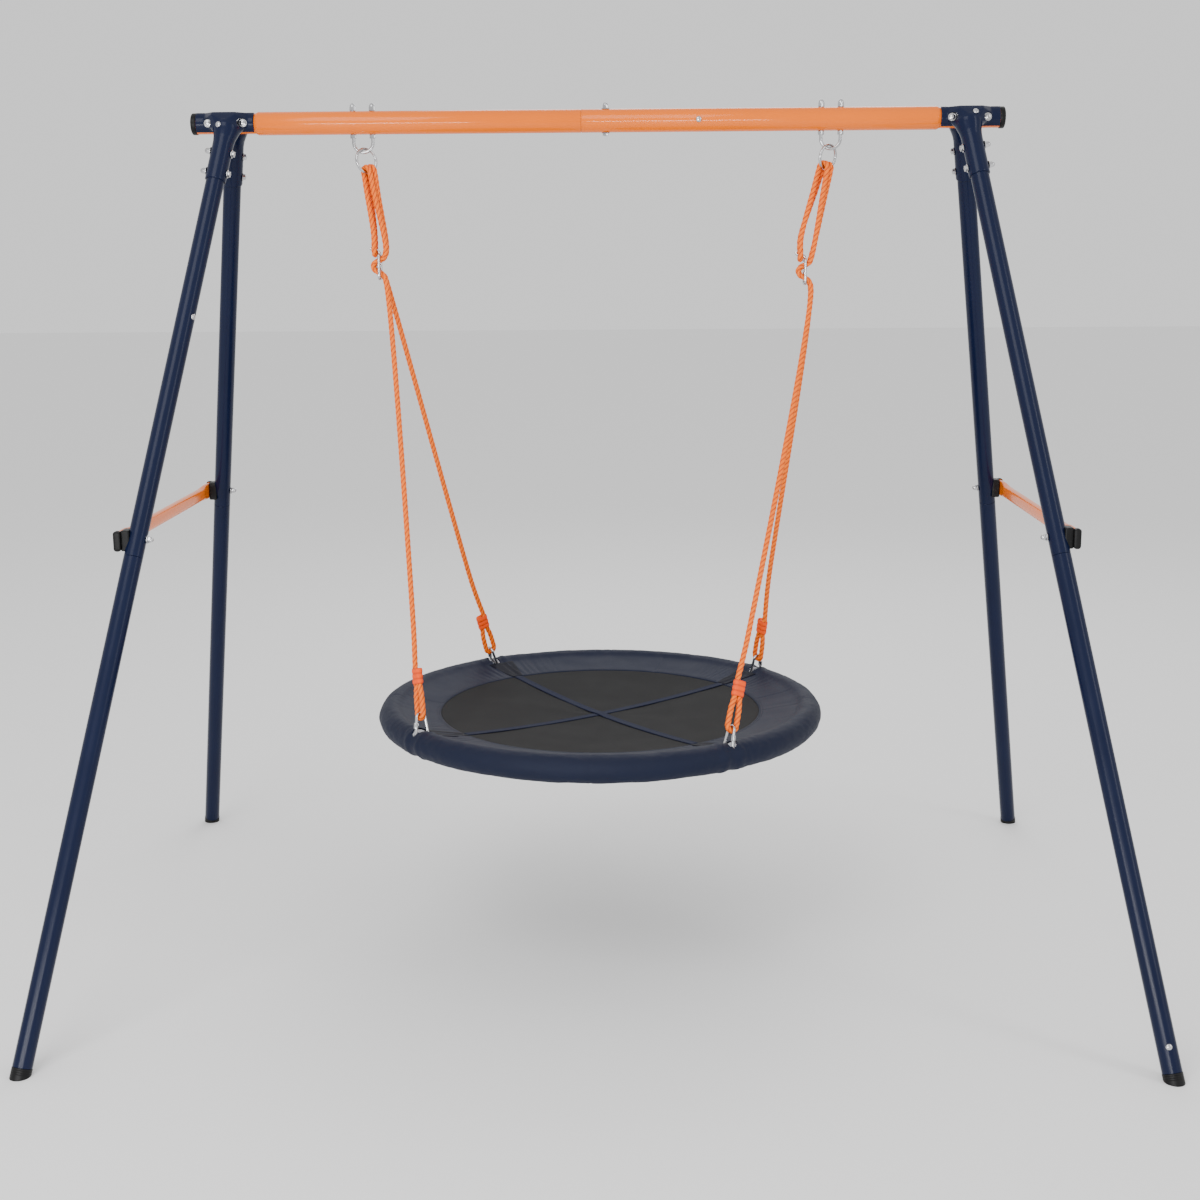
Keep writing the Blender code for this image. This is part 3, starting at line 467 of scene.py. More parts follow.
def mesh_from(bm: bmesh.types.BMesh, smooth_angle: float = 40.0) -> bpy.types.Mesh:
    """A smooth mesh made from a bmesh, which is freed.

    Args:
        bm: The bmesh, freed here.
        smooth_angle: Degrees above which an edge stays sharp.

    Returns:
        The mesh.
    """
    mesh = bpy.data.meshes.new("piece")
    bm.to_mesh(mesh)
    bm.free()
    mesh.shade_smooth()
    mesh.set_sharp_from_angle(angle=math.radians(smooth_angle))
    return mesh


def apply_modifiers(piece: bpy.types.Object) -> bpy.types.Object:
    """Replace a piece's data by its evaluated mesh and drop its modifiers.

    Args:
        piece: The object.

    Returns:
        The same object.
    """
    bpy.context.view_layer.update()
    evaluated = piece.evaluated_get(bpy.context.evaluated_depsgraph_get())
    mesh = bpy.data.meshes.new_from_object(evaluated)
    if piece.type == "CURVE":
        name = piece.name
        bpy.data.objects.remove(piece, do_unlink=True)
        piece = bpy.data.objects.new(name, mesh)
        bpy.context.scene.collection.objects.link(piece)
    else:
        piece.modifiers.clear()
        piece.data = mesh
    mesh.name = piece.name
    return piece


def bridge_rings(bm: bmesh.types.BMesh, rings: Sequence[Sequence[bmesh.types.BMVert]],
                 closed_rows: bool = False, closed_columns: bool = True) -> None:
    """Quads between neighbouring rings of equal count.

    Args:
        bm: The bmesh that holds the rings.
        rings: The rings, in order.
        closed_rows: Whether the last ring joins the first.
        closed_columns: Whether each ring is a closed loop.
    """
    count = len(rings[0])
    rows = len(rings) if closed_rows else len(rings) - 1
    columns = count if closed_columns else count - 1
    for row in range(rows):
        first, second = rings[row], rings[(row + 1) % len(rings)]
        for index in range(columns):
            after = (index + 1) % count
            bm.faces.new((first[index], first[after], second[after], second[index]))


def lathe(profile: Sequence[tuple[float, float]], matrix: Matrix, steps: int = 48,
          closed: bool = False) -> bmesh.types.BMesh:
    """A profile of (radius, height) turned about the matrix's Z axis.

    Args:
        profile: The points; a radius of 0 is a pole.
        matrix: Where the turned shape stands.
        steps: Points round a full turn.
        closed: Whether the profile is a loop, as a tube's is.

    Returns:
        The turned shape, its faces pointing out.
    """
    bm = bmesh.new()
    rings = []
    for radius, height in profile:
        ring = [bm.verts.new(matrix @ Vector((radius * math.cos(2 * math.pi * step / steps),
                                              radius * math.sin(2 * math.pi * step / steps), height)))
                for step in range(steps)]
        rings.append(ring)
    bridge_rings(bm, rings, closed_rows=closed)
    bmesh.ops.remove_doubles(bm, verts=bm.verts, dist=0.000001)
    bmesh.ops.dissolve_degenerate(bm, edges=bm.edges, dist=0.000001)
    bmesh.ops.recalc_face_normals(bm, faces=bm.faces)
    return bm


def catmull_rom(before: Vector, start: Vector, end: Vector, after: Vector, amount: float) -> Vector:
    """One point of a centripetal Catmull-Rom span between start and end.

    Args:
        before: Control before the span.
        start: Start of the span.
        end: End of the span.
        after: Control after the span.
        amount: Share of the span, 0 to 1.

    Returns:
        The point.
    """
    knots = [0.0]
    for first, second in ((before, start), (start, end), (end, after)):
        knots.append(knots[-1] + max((second - first).length, 0.001) ** 0.5)
    value = knots[1] + (knots[2] - knots[1]) * amount

    def between(first: Vector, second: Vector, low: int, high: int) -> Vector:
        """First and second blended by where value lies between two knots."""
        return first.lerp(second, (value - knots[low]) / (knots[high] - knots[low]))

    opening = between(between(before, start, 0, 1), between(start, end, 1, 2), 0, 2)
    closing = between(between(start, end, 1, 2), between(end, after, 2, 3), 1, 3)
    return between(opening, closing, 1, 2)


def smooth_path(controls: Sequence[Vector], step: float = 0.004) -> list[Vector]:
    """Closely spaced points on a smooth curve through the controls.

    Args:
        controls: Points the curve passes through.
        step: Spacing of the points.

    Returns:
        The points.
    """
    points = []
    last = len(controls) - 1
    for index in range(last):
        span = (controls[max(index - 1, 0)], controls[index], controls[index + 1],
                controls[min(index + 2, last)])
        count = max(3, round((span[2] - span[1]).length / step))
        points.extend(catmull_rom(*span, part / count) for part in range(count))
    points.append(controls[last])
    return points


# ---------------------------------------------------------------- geometry node tools


class NodeTools:
    """Geometry node trees for what follows a path or repeats."""

    def __init__(self) -> None:
        """Build the trees."""
        self.sweep_tree = self._sweep()
        self.stitch_tree = self._stitch()
        self.fastener_tree = self._fastener()

    @staticmethod
    def _tree(name: str, inputs: dict[str, str]) -> tuple[Graph, dict, bpy.types.NodeSocket]:
        """A geometry tree with a Geometry input and output and more named inputs.

        Args:
            name: Name of the tree.
            inputs: Socket type of each named input.

        Returns:
            The graph, its inputs by name, and the output to reach.
        """
        tree = bpy.data.node_groups.new(name, "GeometryNodeTree")
        tree.interface.new_socket(name="Geometry", in_out="INPUT", socket_type="NodeSocketGeometry")
        tree.interface.new_socket(name="Geometry", in_out="OUTPUT", socket_type="NodeSocketGeometry")
        for socket_name, kind in inputs.items():
            tree.interface.new_socket(name=socket_name, in_out="INPUT", socket_type=kind)
        graph = Graph(tree)
        entry = graph.add("NodeGroupInput")
        leave = graph.add("NodeGroupOutput")
        return graph, {s.name: s for s in entry.outputs}, leave.inputs["Geometry"]

    @staticmethod
    def _finish(graph: Graph, geometry: bpy.types.NodeSocket, material: bpy.types.NodeSocket,
                leave: bpy.types.NodeSocket) -> None:
        """End a tree in Realize Instances and Set Material.

        Args:
            graph: The tree being built.
            geometry: What to realize.
            material: The material socket.
            leave: The output to reach.
        """
        real = graph.add("GeometryNodeRealizeInstances", {"Geometry": geometry})
        dressed = graph.add("GeometryNodeSetMaterial", {"Geometry": real.outputs["Geometry"],
                                                        "Material": material})
        graph.tree.links.new(dressed.outputs["Geometry"], leave)

    def _sweep(self) -> bpy.types.NodeTree:
        """A round or three-lobed section swept along a curve, twisted as it goes.

        Returns:
            The tree.
        """
        graph, given, leave = self._tree("swept_wire", {
            "Radius": "NodeSocketFloat", "Step": "NodeSocketFloat", "Sides": "NodeSocketInt",
            "Lobe Depth": "NodeSocketFloat", "Turns per Metre": "NodeSocketFloat",
            "Material": "NodeSocketMaterial"})
        path = graph.add("GeometryNodeResampleCurve", {"Curve": given["Geometry"], "Length": given["Step"]},
                         mode="LENGTH")
        length = graph.add("GeometryNodeSplineParameter").outputs["Length"]
        marked = graph.add("GeometryNodeStoreNamedAttribute", {
            "Geometry": path.outputs["Curve"], "Name": "along", "Value": length}, data_type="FLOAT")
        turns = graph.math("MULTIPLY", graph.math("MULTIPLY", length, given["Turns per Metre"]), 2 * math.pi)
        twisted = graph.add("GeometryNodeSetCurveTilt", {"Curve": marked.outputs["Geometry"], "Tilt": turns})
        circle = graph.add("GeometryNodeCurvePrimitiveCircle", {"Resolution": given["Sides"],
                                                                "Radius": given["Radius"]})
        factor = graph.add("GeometryNodeSplineParameter").outputs["Factor"]
        lobe = graph.math("ABSOLUTE", graph.math("SINE", graph.math("MULTIPLY", factor, 3 * math.pi)))
        groove = graph.math("SUBTRACT", 1.0, graph.math("POWER", lobe, 0.75))
        around = graph.add("GeometryNodeStoreNamedAttribute", {
            "Geometry": circle.outputs["Curve"], "Name": "around", "Value": factor}, data_type="FLOAT")
        # groove also masks the painted shade in the rope shader's valleys.
        grooved = graph.add("GeometryNodeStoreNamedAttribute", {
            "Geometry": around.outputs["Geometry"], "Name": "groove", "Value": groove}, data_type="FLOAT")
        shrink = graph.math("SUBTRACT", 1.0, graph.math("MULTIPLY", groove, given["Lobe Depth"]))
        position = graph.add("GeometryNodeInputPosition").outputs[0]
        moved = graph.add("ShaderNodeVectorMath", {0: position, "Scale": shrink}, operation="SCALE")
        profile = graph.add("GeometryNodeSetPosition", {"Geometry": grooved.outputs["Geometry"],
                                                        "Position": moved.outputs[0]})
        swept = graph.add("GeometryNodeCurveToMesh", {"Curve": twisted.outputs["Curve"],
                                                      "Profile Curve": profile.outputs["Geometry"],
                                                      "Fill Caps": True})
        smooth = graph.add("GeometryNodeSetShadeSmooth", {"Geometry": swept.outputs["Mesh"]})
        self._finish(graph, smooth.outputs["Geometry"], given["Material"], leave)
        return graph.tree

    def _stitch(self) -> bpy.types.NodeTree:
        """One small object repeated along a curve, its X along the curve.

        Returns:
            The tree.
        """
        graph, given, leave = self._tree("stitch_run", {
            "Spacing": "NodeSocketFloat", "Stitch": "NodeSocketObject", "Material": "NodeSocketMaterial"})
        path = graph.add("GeometryNodeResampleCurve", {"Curve": given["Geometry"], "Length": given["Spacing"]},
                         mode="LENGTH")
        tangent = graph.add("GeometryNodeInputTangent").outputs[0]
        turned = graph.add("FunctionNodeAlignRotationToVector", {"Vector": tangent}, axis="X")
        stitch = graph.add("GeometryNodeObjectInfo", {"Object": given["Stitch"], "As Instance": True})
        placed = graph.add("GeometryNodeInstanceOnPoints", {
            "Points": path.outputs["Curve"], "Instance": stitch.outputs["Geometry"],
            "Rotation": turned.outputs[0]})
        self._finish(graph, placed.outputs["Instances"], given["Material"], leave)
        return graph.tree

    def _fastener(self) -> bpy.types.NodeTree:
        """One fastener repeated on points, its Z along each point's facing attribute.

        Returns:
            The tree.
        """
        graph, given, leave = self._tree("fastener_set", {
            "Fastener": "NodeSocketObject", "Material": "NodeSocketMaterial"})
        facing = graph.add("GeometryNodeInputNamedAttribute", {"Name": "facing"}, data_type="FLOAT_VECTOR")
        turned = graph.add("FunctionNodeAlignRotationToVector", {"Vector": facing.outputs["Attribute"]}, axis="Z")
        model = graph.add("GeometryNodeObjectInfo", {"Object": given["Fastener"], "As Instance": True})
        placed = graph.add("GeometryNodeInstanceOnPoints", {
            "Points": given["Geometry"], "Instance": model.outputs["Geometry"], "Rotation": turned.outputs[0]})
        self._finish(graph, placed.outputs["Instances"], given["Material"], leave)
        return graph.tree

    @staticmethod
    def _run(piece: bpy.types.Object, tree: bpy.types.NodeTree, values: dict) -> bpy.types.Object:
        """Give a piece the tree with its inputs, and turn the result into a plain mesh.

        Args:
            piece: The object.
            tree: The geometry tree.
            values: Value of each named input.

        Returns:
            The same object, with a plain mesh.
        """
        modifier = piece.modifiers.new("nodes", "NODES")
        modifier.node_group = tree
        sockets = {item.name: item.identifier for item in tree.interface.items_tree
                   if item.in_out == "INPUT"}
        for name, value in values.items():
            modifier[sockets[name]] = value
        return apply_modifiers(piece)

    def sweep(self, name: str, paths: Iterable[Sequence[Vector]], radius: float, material: bpy.types.Material,
              sides: int = 20, step: float = 0.003, cyclic: bool = False, lobe_depth: float = 0.0,
              turns: float = 0.0) -> bpy.types.Object:
        """Sweep a section along one or more paths.

        Args:
            name: The piece's name.
            paths: Lists of points.
            radius: Outer radius of the section.
            material: Its finish.
            sides: Points round the section.
            step: Spacing of the sections.
            cyclic: Whether the paths are loops.
            lobe_depth: Depth of the valleys between three strands, as a share of the radius.
            turns: Turns of the lay in a metre.

        Returns:
            The finished piece.
        """
        curve = make_curve(name, paths, cyclic)
        return self._run(curve, self.sweep_tree, {
            "Radius": radius, "Step": step, "Sides": sides, "Lobe Depth": lobe_depth,
            "Turns per Metre": turns, "Material": material})

    def stitches(self, name: str, paths: Iterable[Sequence[Vector]], spacing: float,
                 material: bpy.types.Material, cyclic: bool = False) -> bpy.types.Object:
        """Thread stitches along paths.

        Args:
            name: Name of the result.
            paths: Points of each path.
            spacing: Distance from stitch to stitch.
            material: Its finish.
            cyclic: Whether each path is closed.

        Returns:
            The object.
        """
        stitch = new_piece("stitch_model", stitch_mesh(), None)
        piece = self._run(make_curve(name, paths, cyclic), self.stitch_tree, {
            "Spacing": spacing, "Stitch": stitch, "Material": material})
        bpy.data.objects.remove(stitch, do_unlink=True)
        return piece

    def fasteners(self, name: str, model: bpy.types.Mesh, places: Sequence[tuple[Vector, Vector]],
                  material: bpy.types.Material) -> bpy.types.Object:
        """One model at every (point, facing) of places.

        Args:
            name: Name of the result.
            model: Mesh of one fastener, Z along its axis.
            places: Point and facing of each.
            material: Its finish.

        Returns:
            The object.
        """
        holder = new_piece("fastener_model", model, None)
        mesh = bpy.data.meshes.new(name)
        mesh.from_pydata([point for point, _ in places], [], [])
        facing = mesh.attributes.new("facing", "FLOAT_VECTOR", "POINT")
        for index, (_, direction) in enumerate(places):
            facing.data[index].vector = direction.normalized()
        piece = self._run(new_piece(name, mesh, None), self.fastener_tree, {
            "Fastener": holder, "Material": material})
        bpy.data.objects.remove(holder, do_unlink=True)
        return piece


def make_curve(name: str, paths: Iterable[Sequence[Vector]], cyclic: bool) -> bpy.types.Object:
    """A curve object with one poly spline for each path.

    Args:
        name: Name of the result.
        paths: Points of each path.
        cyclic: Whether each path is closed.

    Returns:
        The curve object.
    """
    data = bpy.data.curves.new(name, "CURVE")
    data.dimensions = "3D"
    for path in paths:
        spline = data.splines.new("POLY")
        spline.points.add(len(path) - 1)
        spline.use_cyclic_u = cyclic
        for target, point in zip(spline.points, path):
            target.co = (*point, 1.0)
    piece = bpy.data.objects.new(name, data)
    bpy.context.scene.collection.objects.link(piece)
    return piece


def stitch_mesh(length: float = 0.0030, radius: float = 0.00042) -> bpy.types.Mesh:
    """A small rounded length of thread along X.

    Args:
        length: Length along X.
        radius: Radius.

    Returns:
        The mesh.
    """
    profile = [(0.0, -length / 2), (radius * 0.8, -length * 0.38), (radius, 0.0), (radius * 0.8, length * 0.38),
               (0.0, length / 2)]
    return mesh_from(lathe(profile, frame_along(Vector(), Vector((1.0, 0.0, 0.0))), steps=6), 180.0)


def hex_ring(radius: float, height: float, chamfer: float) -> bmesh.types.BMesh:
    """A six-sided prism with chamfered corners, standing on Z = 0.

    Args:
        radius: Radius.
        height: Height.
        chamfer: Size of the chamfer.

    Returns:
        The prism.
    """
    bm = bmesh.new()
    bmesh.ops.create_cone(bm, cap_ends=True, segments=6, radius1=radius, radius2=radius, depth=height,
                          matrix=Matrix.Translation((0.0, 0.0, height / 2)))
    bmesh.ops.bevel(bm, geom=list(bm.edges), offset=chamfer, segments=2, profile=0.6, affect="EDGES")
    return bm


def joined(parts: Iterable[bmesh.types.BMesh], smooth_angle: float = 40.0) -> bpy.types.Mesh:
    """One mesh from several bmeshes, which are freed.

    Args:
        parts: The bmeshes, freed here.
        smooth_angle: Degrees above which an edge stays sharp.

    Returns:
        The mesh.
    """
    whole = bmesh.new()
    for part in parts:
        mesh = bpy.data.meshes.new("part")
        part.to_mesh(mesh)
        part.free()
        whole.from_mesh(mesh)
        bpy.data.meshes.remove(mesh)
    return mesh_from(whole, smooth_angle)


class FastenerModels:
    """Meshes of the zinc fasteners, each standing on Z = 0 with its shank below."""

    WASHER_RADIUS = 0.0085
    WASHER_HEIGHT = 0.0014
    HEX_RADIUS = 0.0068
    HEAD_HEIGHT = 0.0046
    NUT_HEIGHT = 0.0062

    @classmethod
    def washer(cls) -> bmesh.types.BMesh:
        """A flat washer with eased edges.

        Returns:
            The washer.
        """
        ease = 0.0003
        return lathe([(0.0, cls.WASHER_HEIGHT), (cls.WASHER_RADIUS - ease, cls.WASHER_HEIGHT),
                      (cls.WASHER_RADIUS, cls.WASHER_HEIGHT - ease), (cls.WASHER_RADIUS, ease),
                      (cls.WASHER_RADIUS - ease, 0.0), (0.0, 0.0)], Matrix(), 28)

    @classmethod
    def bolt_head(cls) -> bpy.types.Mesh:
        """A hex head with a domed top on its washer.

        Returns:
            The mesh.
        """
        head = hex_ring(cls.HEX_RADIUS, cls.HEAD_HEIGHT, 0.0005)
        bmesh.ops.translate(head, vec=(0.0, 0.0, cls.WASHER_HEIGHT), verts=head.verts)
        crown = lathe([(0.0, 0.0072), (0.0025, 0.0070), (0.0045, 0.0064), (0.0055, 0.0055), (0.0, 0.0050)],
                      Matrix(), 24)
        return joined([cls.washer(), head, crown])

    @classmethod
    def acorn_nut(cls) -> bpy.types.Mesh:
        """A domed cap nut on its washer.

        Returns:
            The mesh.
        """
        nut = hex_ring(cls.HEX_RADIUS, cls.NUT_HEIGHT, 0.0006)
        bmesh.ops.translate(nut, vec=(0.0, 0.0, cls.WASHER_HEIGHT), verts=nut.verts)
        dome = [(0.0056 * math.cos(step * math.pi / 12), 0.0072 + 0.0062 * math.sin(step * math.pi / 12))
                for step in range(6, -1, -1)]
        return joined([cls.washer(), nut, lathe([*dome, (0.0, 0.0070)], Matrix(), 24)])

    @staticmethod
    def round_screw() -> bpy.types.Mesh:
        """A round head with a cross recess.

        Returns:
            The mesh.
        """
        arc = [(0.0062 * math.cos(step * math.pi / 12), 0.0034 * math.sin(step * math.pi / 12))
               for step in range(5, -1, -1)]
        head = lathe([(0.0, 0.0025), (0.0007, 0.0033), *arc, (0.0, -0.0005)], Matrix(), 28)
        return mesh_from(head)


# ---------------------------------------------------------------- the swing


@dataclass
class Workshop:
    """What every sub-assembly needs: finishes and node tools, and how a piece is handed over."""

    palette: Palette = field(default_factory=Palette)
    tools: NodeTools = field(default_factory=NodeTools)

    def hand_over(self, piece: bpy.types.Object, body: Body, slot: Slot, *nodes: str) -> bpy.types.Object:
        """Make a piece ride on its body, in place of CAD nodes, and report it.

        Args:
            piece: The object.
            body: The moving body it rides on.
            slot: The finish slot; not used.

        Returns:
            The same object.
        """
        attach(piece, body.value)
        if nodes:
            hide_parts(*nodes)
        LOG.info("%s: %d faces on %s", piece.name, len(piece.data.polygons), body.value)
        return piece

    def dress(self, node: str, material: bpy.types.Material) -> None:
        """Give a carried-over CAD node its finish.

        Args:
            node: Name of the CAD node.
            material: Its finish.
        """
        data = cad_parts[node].data
        data.materials.clear()
        data.materials.append(material)


@dataclass
class Legs:
    """Axes of the four legs and what is on them: tubes, foot plugs, braces and their bolts."""

    shop: Workshop
    radius: float = 0.019
    wall: float = 0.0015
    top: Vector = field(default_factory=lambda: Vector((0.773, 0.037, 1.77)))
    foot: Vector = field(default_factory=lambda: Vector((1.083, 0.753, 0.0)))
    bar_height: float = 1.79
    joint_height: float = 0.930
    start: float = 0.0215
    foot_cut: float = 0.016
    brace_height: float = 0.963
    saddle_standoff: float = 0.029
    brace_end: tuple[float, float] = (0.010, 0.036)
    brace_middle: tuple[float, float] = (0.021, 0.028)
    brace_overhang: float = 0.022
    bolt_heights: tuple[float, float] = (1.7285, 1.6875)

    def axis(self, side: int, end: int) -> tuple[Vector, Vector]:
        """Bar-level point and unit direction, down the leg, of one leg's axis.

        Args:
            side: -1 on the left, 1 on the right.
            end: -1 at the front, 1 at the rear.

        Returns:
            The point and the direction.
        """
        top = Vector((side * self.top.x, end * self.top.y, self.top.z))
        foot = Vector((side * self.foot.x, end * self.foot.y, self.foot.z))
        direction = (foot - top).normalized()
        across = Vector((0.0, direction.y, direction.z))
        offset = Vector((0.0, top.y, top.z - self.bar_height))
        return top - direction * (offset.dot(across) / across.length_squared), direction

    def point(self, side: int, end: int, height: float) -> Vector:
        """Point of a leg's axis at a height."""
        origin, direction = self.axis(side, end)
        return origin + direction * ((height - origin.z) / direction.z)

    def outward(self, side: int, end: int) -> Vector:
        """Unit direction square to a leg, away from the swing's middle.

        Args:
            side: -1 on the left, 1 on the right.
            end: -1 at the front, 1 at the rear.

        Returns:
            The direction.
        """
        direction = self.axis(side, end)[1]
        outward = Vector((side, 0.0, 0.0))
        return (outward - direction * outward.dot(direction)).normalized()

    def build(self) -> None:
        """Build the tubes, feet and braces of every leg."""
        for side_name, side in SIDES.items():
            for end_name, end in ENDS.items():
                self.build_leg(f"{end_name}_{side_name}", side, end)
            self.build_brace(side_name, side)

    def build_leg(self, key: str, side: int, end: int) -> None:
        """Both tubes and the foot plug of one leg.

        Args:
            key: End and side, such as front_left.
            side: -1 on the left, 1 on the right.
            end: -1 at the front, 1 at the rear.
        """
        origin, direction = self.axis(side, end)
        matrix = frame_along(origin, direction)
        joint = (self.joint_height - origin.z) / direction.z
        base = -origin.z / direction.z - self.foot_cut
        for part, begin, finish in (("upper", self.start, joint - 0.0003), ("lower", joint, base)):
            ease = 0.0006
            inner = self.radius - self.wall
            profile = [(inner, begin), (self.radius - ease, begin), (self.radius, begin + ease),
                       (self.radius, finish - ease), (self.radius - ease, finish), (inner, finish)]
            name = f"leg_{part}_{key}"
            tube = new_piece(f"{name}_tube", mesh_from(lathe(profile, matrix, 56, closed=True)),
                             self.shop.palette.navy)
            self.shop.hand_over(tube, Body.FRAME, Slot.NAVY_STEEL, name)
        self.build_foot(key, matrix, base)

    def build_foot(self, key: str, matrix: Matrix, base: float) -> None:
        """A ribbed plug whose sole is cut level with the floor.

        Args:
            key: End and side, such as front_left.
            matrix: The leg's frame.
            base: Z of the lower tube's end in that frame.
        """
        outer = self.radius + 0.0006
        profile = [(0.0, base + 0.040), (outer, base + 0.040)]
        for rib in range(3):
            height = base + 0.0125 - rib * 0.004
            profile += [(outer, height), (outer - 0.0005, height - 0.0007), (outer, height - 0.0014)]
        profile += [(outer, base + 0.0011), (outer - 0.0006, base + 0.0003), (0.0, base + 0.0003)]
        bm = lathe(profile, matrix, 56)
        geometry = [*bm.verts, *bm.edges, *bm.faces]
        cut = bmesh.ops.bisect_plane(bm, geom=geometry, plane_co=(0.0, 0.0, 0.0), plane_no=(0.0, 0.0, -1.0),
                                     clear_outer=True)
        rim = [item for item in cut["geom_cut"] if isinstance(item, bmesh.types.BMEdge)]
        bmesh.ops.holes_fill(bm, edges=rim)
        bmesh.ops.recalc_face_normals(bm, faces=bm.faces)
        plug = new_piece(f"foot_plug_{key}", mesh_from(bm, 30.0), self.shop.palette.plastic)
        self.shop.hand_over(plug, Body.FRAME, Slot.BLACK_PLASTIC, f"foot_cap_{key}")

    def brace_face(self, side: int) -> float:
        """X of a brace's inner face, where the saddles bear."""
        return side * (self.point(1, 1, self.brace_height).x + self.saddle_standoff + 0.0003)

    def build_brace(self, side_name: str, side: int) -> None:
        """A round-cornered tube that flattens and flares towards its bolted ends.

        Args:
            side_name: left or right.
            side: -1 on the left, 1 on the right.
        """
        end_y = self.point(1, 1, self.brace_height).y + self.brace_overhang
        centre = Vector((self.brace_face(side) + side * self.brace_end[0] / 2, 0.0, self.brace_height))
        stations = 90
        bm = bmesh.new()
        skins = []
        for inset in (0.0, 0.0015):
            rings = []
            for index in range(stations + 1):
                y = -end_y + 2 * end_y * index / stations
                share = min(1.0, max(0.0, (end_y - abs(y) - 0.055) / 0.055))
                ease = share * share * (3 - 2 * share)
                sizes = [low + (high - low) * ease for low, high in zip(self.brace_end, self.brace_middle)]
                rings.append([bm.verts.new(centre + point) for point in
                              rounded_section(sizes[0] - 2 * inset, sizes[1] - 2 * inset, y)])
            skins.append(rings)
            bridge_rings(bm, rings)
        for index in (0, -1):
            bridge_rings(bm, [skins[0][index], skins[1][index]])
        bmesh.ops.recalc_face_normals(bm, faces=bm.faces)
        name = f"side_brace_{side_name}"
        tube = new_piece(f"{name}_tube", mesh_from(bm), self.shop.palette.orange)
        self.shop.hand_over(tube, Body.FRAME, Slot.ORANGE_STEEL, name)
        for end_name, end in ENDS.items():
            self.shop.dress(f"brace_saddle_{end_name}_{side_name}", self.shop.palette.plastic)
            self.build_end_cap(f"{end_name}_{side_name}", centre + Vector((0.0, end * end_y, 0.0)), end)

    def build_end_cap(self, key: str, place: Vector, end: int) -> None:
        """A moulded cap over one open end of a brace.

        Args:
            key: End and side.
            place: Centre of the opening.
            end: -1 at the front, 1 at the rear.
        """
        bm = bmesh.new()
        rings = []
        for along, grow in ((0.0004, 0.0005), (-0.009, 0.0012), (-0.0095, 0.0022), (0.0015, 0.0022),
                            (0.0030, 0.0016), (0.0037, 0.0004), (0.0040, -0.0050)):
            thickness = self.brace_end[0] + 2 * grow if grow > 0.0 else 0.0030
            height = self.brace_end[1] + 2 * grow
            rings.append([bm.verts.new(place + point)
                          for point in rounded_section(thickness, height, end * along)])
        bridge_rings(bm, rings)
        for ring in (rings[0], rings[-1]):
            bm.faces.new(ring)
        bmesh.ops.recalc_face_normals(bm, faces=bm.faces)
        cap = new_piece(f"brace_end_cap_{key}", mesh_from(bm, 50.0), self.shop.palette.plastic)
        self.shop.hand_over(cap, Body.FRAME, Slot.BLACK_PLASTIC)


def rounded_section(thickness: float, height: float, y: float, corner_steps: int = 6) -> list[Vector]:
    """A rounded rectangle in the XZ plane at y.

    Args:
        thickness: Size along X.
        height: Size along Z.
        y: Where the section lies.
        corner_steps: Steps in each corner.

    Returns:
        The points, in order.
    """
    radius = min(thickness, height) * 0.40
    points = []
    for quarter, (sign_x, sign_z) in enumerate(((1, 1), (-1, 1), (-1, -1), (1, -1))):
        for step in range(corner_steps + 1):
            angle = (quarter + step / corner_steps) * math.pi / 2
            points.append(Vector((sign_x * (thickness / 2 - radius) + radius * math.cos(angle), y,
                                  sign_z * (height / 2 - radius) + radius * math.sin(angle))))
    return points


